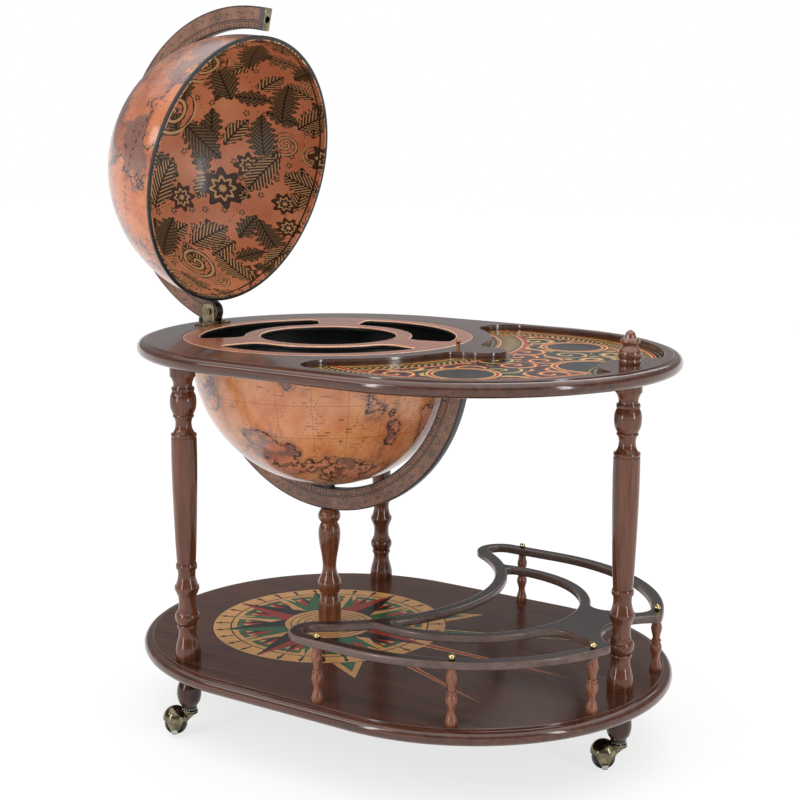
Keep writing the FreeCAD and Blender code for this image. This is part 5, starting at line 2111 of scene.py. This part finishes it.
@dataclass
class Hinge:
    """Two angle brackets beside the lid ring."""

    plan: Plan
    palette: Palette
    width: float = 26.0
    thickness: float = 3.0
    rise: float = 13.0
    inner: float = 8.3
    flange: float = 24.0
    overlap: float = 1.0
    shoulder: float = 6.5
    corner: float = 4.0
    edge_round: float = 0.5

    def bracket(self, side: int) -> Surface:
        """Upright cheek with rounded shoulders beside the ring, on a flat flange with rounded corners.

        Args:
            side: One for the back, minus one for the front.

        Returns:
            The bracket in its place.
        """
        half, thickness = self.width / 2, self.thickness
        height = self.plan.pin_z - self.plan.table_high + self.rise
        near, far = self.inner + self.overlap, self.inner + thickness + self.flange
        r, c = self.shoulder, self.corner
        cheek = tidy_loop(
            np.array([[-half, 0.0], [half, 0.0]]),
            arc(r, 0, 90, half - r, height - r, 12),
            arc(r, 90, 180, r - half, height - r, 12),
        )
        foot = tidy_loop(
            np.array([[half, near]]),
            arc(c, 0, 90, half - c, far - c, 8),
            arc(c, 90, 180, c - half, far - c, 8),
            np.array([[-half, near]]),
        )
        upright, flat = (plate(loop, [], 0.0, thickness, self.edge_round) for loop in (cheek, foot))
        whole = Surface.joined([upright.placed(UPRIGHT, (0.0, self.inner + thickness, 0.0)), flat])
        turn = np.diag([float(side), float(side), 1.0])
        return whole.placed(turn, (self.plan.pin_x, 0.0, self.plan.table_high))

    def build(self) -> None:
        """Both brackets."""
        for side, node in ((-1, "hinge_bracket_front"), (1, "hinge_bracket_back")):
            bracket, finishes = self.bracket(side), [self.palette.old_brass]
            make_piece("angle_" + node, bracket, "stand", node, finishes)


@dataclass
class Casters:
    """Hooded ball casters: socket with its ball race, hood with its swivel disc, and ball wheel."""

    plan: Plan
    palette: Palette
    sides: int = 56
    wheel_radius: float = 18.0
    half_width: float = 11.0
    hub_radius: float = 6.0
    hub_half: float = 17.0
    hub_chamfer: float = 0.8
    dish_depth: float = 2.0
    dish_insets: Pair = (3.0, 2.2)
    bore: float = 2.55
    trail: float = 22.0
    heading: float = 215.0
    tilt: float = 22.0
    hood_gap: float = 0.6
    hood_thickness: float = 2.0
    hood_sides: int = 96
    crown: float = 26.0
    brim: float = 25.5
    straps: tuple = ((0.0, -0.5, 15.0), (math.pi, 14.5, 12.5))
    strap_round: float = 3.5
    disc_radius: float = 13.5
    disc_low: float = 34.2
    disc_steps: tuple = (
        (2.5, 0.0), (0.8, 0.5), (0.0, 1.6), (0.0, 2.4), (0.8, 3.2), (0.2, 4.0), (0.2, 5.5), (1.0, 6.5),
    )
    stem_radius: float = 5.0
    stem_low: float = 40.7
    stem_high: float = 52.7
    neck_radius: float = 8.0
    neck_low: float = 22.0
    neck_flare: float = 4.5
    neck_seat: float = 0.5
    neck_tips: tuple = ((1.06, 0.7), (1.08, 0.0))
    neck_sides: int = 48
    lean_share: float = 0.45
    lean_power: float = 1.4
    socket_radius: float = 12.0
    socket_low: float = 41.0
    socket_high: float = 47.0
    socket_bore: float = 5.2
    socket_steps: tuple = ((1.6, 0.0), (0.9, 0.5), (0.9, 1.8), (0.2, 2.4), (0.0, 3.0), (0.0, 5.0), (0.8, 6.0))
    bead_radius: float = 1.3
    bead_inset: float = 1.0
    bead_rise: float = 1.5
    beads: int = 15

    def offset(self) -> Array:
        """Wheel centre from the stem at floor level."""
        turn = math.radians(self.heading)
        return np.array([self.trail * math.cos(turn), self.trail * math.sin(turn), self.wheel_radius])

    def wheel(self) -> Surface:
        """Ball with flat sides, a hub and a bore, along the sloping axle.

        Returns:
            The wheel about the stem.
        """
        edge = math.acos(self.half_width / self.wheel_radius)
        bulge = np.linspace(math.pi / 2 - edge, edge - math.pi / 2, 33)
        ball = np.column_stack([self.wheel_radius * np.cos(bulge), self.wheel_radius * np.sin(bulge)])
        dish, (low_inset, high_inset) = self.half_width - self.dish_depth, self.dish_insets
        side = np.array([
            [self.bore, self.hub_half],
            [self.hub_radius - self.hub_chamfer, self.hub_half],
            [self.hub_radius, self.hub_half - self.hub_chamfer],
            [self.hub_radius, dish],
            [ball[0, 0] - low_inset, dish],
            [ball[0, 0] - high_inset, self.half_width],
        ])
        profile = np.vstack([side, ball, (side * MIRROR_Y)[::-1]])
        turn = turn_about("Z", self.heading + 90) @ turn_about("Y", 90 + self.tilt)
        return revolve(profile, self.sides, closed=True).placed(turn, self.offset())

    def dome(self) -> Surface:
        """Hood over the wheel whose lower edge drops to two straps at the axle ends.

        At each azimuth the wall runs from the pole along a quarter circle to the crown level, then straight
        down to the edge. The edge is the brim level, less a rounded point at each axle end.

        Returns:
            Outer and inner wall about the stem.
        """
        radius = self.wheel_radius + self.hood_gap + self.hood_thickness
        azimuth = np.linspace(0, 2 * np.pi, self.hood_sides, endpoint=False)
        edge = np.full(self.hood_sides, self.brim)
        for direction, low, wide in self.straps:
            heading = math.radians(self.heading + 90) + direction
            away = np.abs((azimuth - heading + np.pi) % (2 * np.pi) - np.pi) * radius
            share = np.clip(1 - np.hypot(away, self.strap_round) / wide, 0, 1)
            edge = np.minimum(edge, self.brim - (self.brim - low) * share)
        turn, drop = np.linspace(0, np.pi / 2, 18), np.linspace(0, 1, 8)[1:]
        straight = self.crown + (edge - self.crown)[:, None] * drop
        walls = []
        for size in (radius, radius - self.hood_thickness):
            reach = np.concatenate([size * np.sin(turn), np.full(len(drop), size)])
            rows = (reach, self.crown + size * np.cos(turn))
            wide, curved = (np.tile(row, (self.hood_sides, 1)) for row in rows)
            walls.append(np.stack([wide, np.hstack([curved, straight])], axis=-1))
        wide, tall = np.moveaxis(np.hstack([walls[0], walls[1][:, ::-1]]), -1, 0)
        x, y, _ = self.offset()
        flat_x, flat_y = (wide * wave(azimuth)[:, None] for wave in (np.cos, np.sin))
        return grid_surface(np.stack([x + flat_x, y + flat_y, tall], axis=-1), True, False)

    def neck(self) -> Surface:
        """Leaning neck under the swivel disc: level rings whose middle moves toward the wheel going down.

        Points that would lie inside the hood are pushed out to the middle of its wall.

        Returns:
            The neck about the stem.
        """
        tips = np.array(self.neck_tips)
        share = np.concatenate([np.linspace(0, 1, 16), tips[:, 0]])
        radius = self.neck_radius + self.neck_flare * np.clip(1 - share, 0, 1) ** 3
        radius[-len(tips) :] = self.neck_radius * tips[:, 1]
        offset = self.offset()
        lean = share[:, None] ** self.lean_power * offset[:2] * self.lean_share
        angles = np.linspace(2 * np.pi, 0, self.neck_sides, endpoint=False)[:, None]
        x, y = lean[:, 0] + radius * np.cos(angles), lean[:, 1] + radius * np.sin(angles)
        z = np.broadcast_to(self.disc_low + self.neck_seat - share * (self.disc_low - self.neck_low), x.shape)
        axis = np.stack(np.broadcast_arrays(offset[0], offset[1], np.minimum(z, self.crown)), axis=-1)
        away = np.stack([x, y, z], axis=-1) - axis
        wall = self.wheel_radius + self.hood_gap + self.hood_thickness / 2
        push = np.maximum(wall / np.linalg.norm(away, axis=-1, keepdims=True), 1.0)
        return grid_surface(axis + away * push, True, False)

    def hood(self) -> Surface:
        """Dome, neck and the swivel disc with its stem.

        Returns:
            The hood about the stem.
        """
        stem = [[self.stem_radius, self.stem_low], [self.stem_radius, self.stem_high], [0.0, self.stem_high]]
        steps = stepped(self.disc_radius, self.disc_low, self.disc_steps)
        disc = revolve(np.vstack([[[0.0, self.disc_low]], steps, stem]), self.sides)
        return Surface.joined([self.dome(), self.neck(), disc])

    def socket(self) -> Surface:
        """Collar with a groove and a race of small balls showing under it.

        Returns:
            The socket about the stem.
        """
        low, bore = self.socket_low, self.socket_bore
        steps = stepped(self.socket_radius, low, self.socket_steps)
        profile = np.vstack([[[bore, low]], steps, [[bore, self.socket_high]]])
        collar = revolve(profile, self.sides, closed=True)
        turn = np.linspace(0, np.pi, 7)
        bead = revolve(self.bead_radius * np.column_stack([np.sin(turn), np.cos(turn)]), 8, Skin.SECOND)
        race = circle(self.socket_radius - self.bead_inset, self.beads)
        return Surface.joined([collar] + [bead.lifted(x, y, low + self.bead_rise) for x, y in race])

    def build(self) -> None:
        """Three casters."""
        palette, socket, hood, wheel = self.palette, self.socket(), self.hood(), self.wheel()
        collar = [palette.black, palette.steel]
        for leg, (x, y) in self.plan.legs.items():
            pieces = (
                ("race_socket_", socket, "stand", Slot.BRASS, "caster_socket_", collar),
                ("ball_hood_", hood, "caster_" + leg, Slot.BRASS, "caster_hood_", [palette.brass]),
                ("ball_wheel_", wheel, "wheel_" + leg, Slot.RUBBER, "caster_wheel_", [palette.rubber]),
            )
            for name, surface, body, slot, node, finishes in pieces:
                make_piece(name + leg, surface.lifted(x, y, 0), body, node + leg, finishes)


@dataclass
class Studio:
    """Pale floor, soft lights and the camera of the photograph; lamps are in metres and watts."""

    plan: Plan
    focal_pixels: float = 1537.88
    distance: float = 2473.13
    yaw: float = -0.5967
    elevation: float = 0.1752
    roll: float = 0.0038
    target: Triple = (143.017, 0.0, -83.109)
    floor_half: float = 14.0
    floor_drop: float = 0.0005
    floor_plain: float = 0.75
    lamps: tuple = (
        ("key_light", (-1.5, -2.9, 2.2), (0.0, 0.0, 0.6), 2.8, 0.7, 27.0),
        ("left_strip", (-0.7, -2.9, 1.1), (0.0, 0.0, 0.5), 0.3, 1.7, 20.0),
        ("right_strip", (3.0, -0.5, 1.1), (0.1, 0.0, 0.5), 0.3, 1.7, 20.0),
        ("back_light", (-0.6, 2.8, 2.6), (0.0, 0.0, 0.6), 1.8, 1.8, 16.0),
    )
    horizon: tuple[float, ...] = (0.08, 0.098, 1.0, 0.17)
    overhead: tuple[float, ...] = (0.5, 0.8, 0.0, 1.75)
    mirrored_sky: float = 0.1

    def build_camera(self) -> None:
        """Camera at the angle of the photograph, without shift."""
        flat = math.cos(self.elevation)
        forward = np.array([math.sin(self.yaw) * flat, math.cos(self.yaw) * flat, -math.sin(self.elevation)])
        right = np.array([math.cos(self.yaw), -math.sin(self.yaw), 0.0])
        up = np.cross(right, forward)
        level, lean = math.cos(self.roll), math.sin(self.roll)
        right, up = level * right + lean * up, level * up - lean * right
        middle = np.array([self.plan.axis_x, 0.0, (self.plan.table_low + self.plan.table_high) / 2])
        place = middle + np.array(self.target) - self.distance * forward
        data = bpy.data.cameras.new("photo_camera")
        data.sensor_width = SENSOR_MM
        data.lens = self.focal_pixels / IMAGE_PIXELS * SENSOR_MM
        camera = bpy.data.objects.new("photo_camera", data)
        axes = Matrix(np.column_stack([right, up, -forward]).tolist())
        camera.matrix_world = Matrix.Translation(Vector((place * MM).tolist())) @ axes.to_4x4()
        bpy.context.scene.collection.objects.link(camera)
        bpy.context.scene.camera = camera

    def build_floor(self) -> None:
        """Wide pale floor: partly plain white where it is seen or mirrored, so that shadows stay light."""
        material = bpy.data.materials.new("pale_floor")
        material.use_nodes = True
        tree = material.node_tree
        node = partial(add_node, tree)
        shader = tree.nodes["Principled BSDF"]
        cloud = node("TexNoise", node("TexCoord", out=OBJECT_COORDS), None, 3.0, 2.0, 0.5)
        tone = node("MixRGB", cloud, linear("#f3f2f0"), linear("#fbfaf8"))
        tree.links.new(tone, shader.inputs["Base Color"])
        shader.inputs["Roughness"].default_value = 0.7
        plain = node("Emission", linear("#ffffff"), 1.0)
        share = node("MULTIPLY", background_share(node, 1.0), self.floor_plain)
        mix = node("MixShader", share, shader.outputs[0], plain)
        tree.links.new(mix, tree.nodes["Material Output"].inputs["Surface"])
        mesh = bpy.data.meshes.new("studio_floor")
        half = self.floor_half
        corners = ((-half, -half), (half, -half), (half, half), (-half, half))
        mesh.from_pydata([(x, y, -self.floor_drop) for x, y in corners], [], [(0, 1, 2, 3)])
        mesh.materials.append(material)
        floor = bpy.data.objects.new("studio_floor", mesh)
        bpy.context.scene.collection.objects.link(floor)

    def build_lights(self) -> None:
        """Soft lights and two upright strips, each turned to its aim."""
        for name, place, aim, wide, tall, power in self.lamps:
            data = bpy.data.lights.new(name, "AREA")
            data.shape = "RECTANGLE"
            data.size = wide
            data.size_y = tall
            data.energy = power
            lamp = bpy.data.objects.new(name, data)
            lamp.location = place
            lamp.rotation_euler = (Vector(aim) - Vector(place)).to_track_quat("-Z", "Y").to_euler()
            bpy.context.scene.collection.objects.link(lamp)

    def build_sky(self) -> None:
        """Sky: white at the horizon, dim above it, bright overhead, and plain white to the camera."""
        world = bpy.data.worlds.new("studio_world")
        bpy.context.scene.world = world
        world.use_nodes = True
        tree = world.node_tree
        node = partial(add_node, tree)
        tree.nodes.clear()
        height = node("SeparateXYZ", node("TexCoord")).node.outputs[2]
        sky = node("ADD", *(node("MapRange", height, *span) for span in (self.horizon, self.overhead)))
        plain = background_share(node, self.mirrored_sky)
        level = node("MULTIPLY_ADD", node("SUBTRACT", 1.0, sky), plain, sky)
        output = tree.nodes.new("ShaderNodeOutputWorld")
        tree.links.new(node("Background", linear("#ffffff"), level), output.inputs["Surface"])

    def build(self) -> None:
        """Camera, floor, lights and sky."""
        for step in (self.build_camera, self.build_floor, self.build_lights, self.build_sky):
            step()


def main() -> None:
    """Build every sub-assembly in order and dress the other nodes."""
    logging.basicConfig(level=logging.INFO, format="%(name)s %(message)s")
    bpy.context.scene.view_settings.view_transform = "Standard"
    plan = Plan.read()
    Studio(plan).build()
    palette = Palette(plan)
    for assembly in (Boards, Turnings, Gallery, Globe, Hinge, Casters):
        assembly(plan, palette).build()

    dressed = {
        "bottle_floor": palette.lining,
        "joint_studs": palette.steel,
        "bowl_spacer": palette.ring_edge,
        "lid_spacer": palette.ring_edge,
        "hinge_pin": palette.brass,
        "hinge_screws": palette.old_brass,
        "lid_bumper": palette.rubber,
        "catch_post": palette.copper,
        "rail_ball_nuts": palette.bright_brass,
        "pole_pin": palette.brass,
    }
    dressed |= {"caster_axle_" + leg: palette.steel for leg in plan.legs}
    for node, material in dressed.items():
        dress(node, material)


if __name__ == "__main__":
    main()
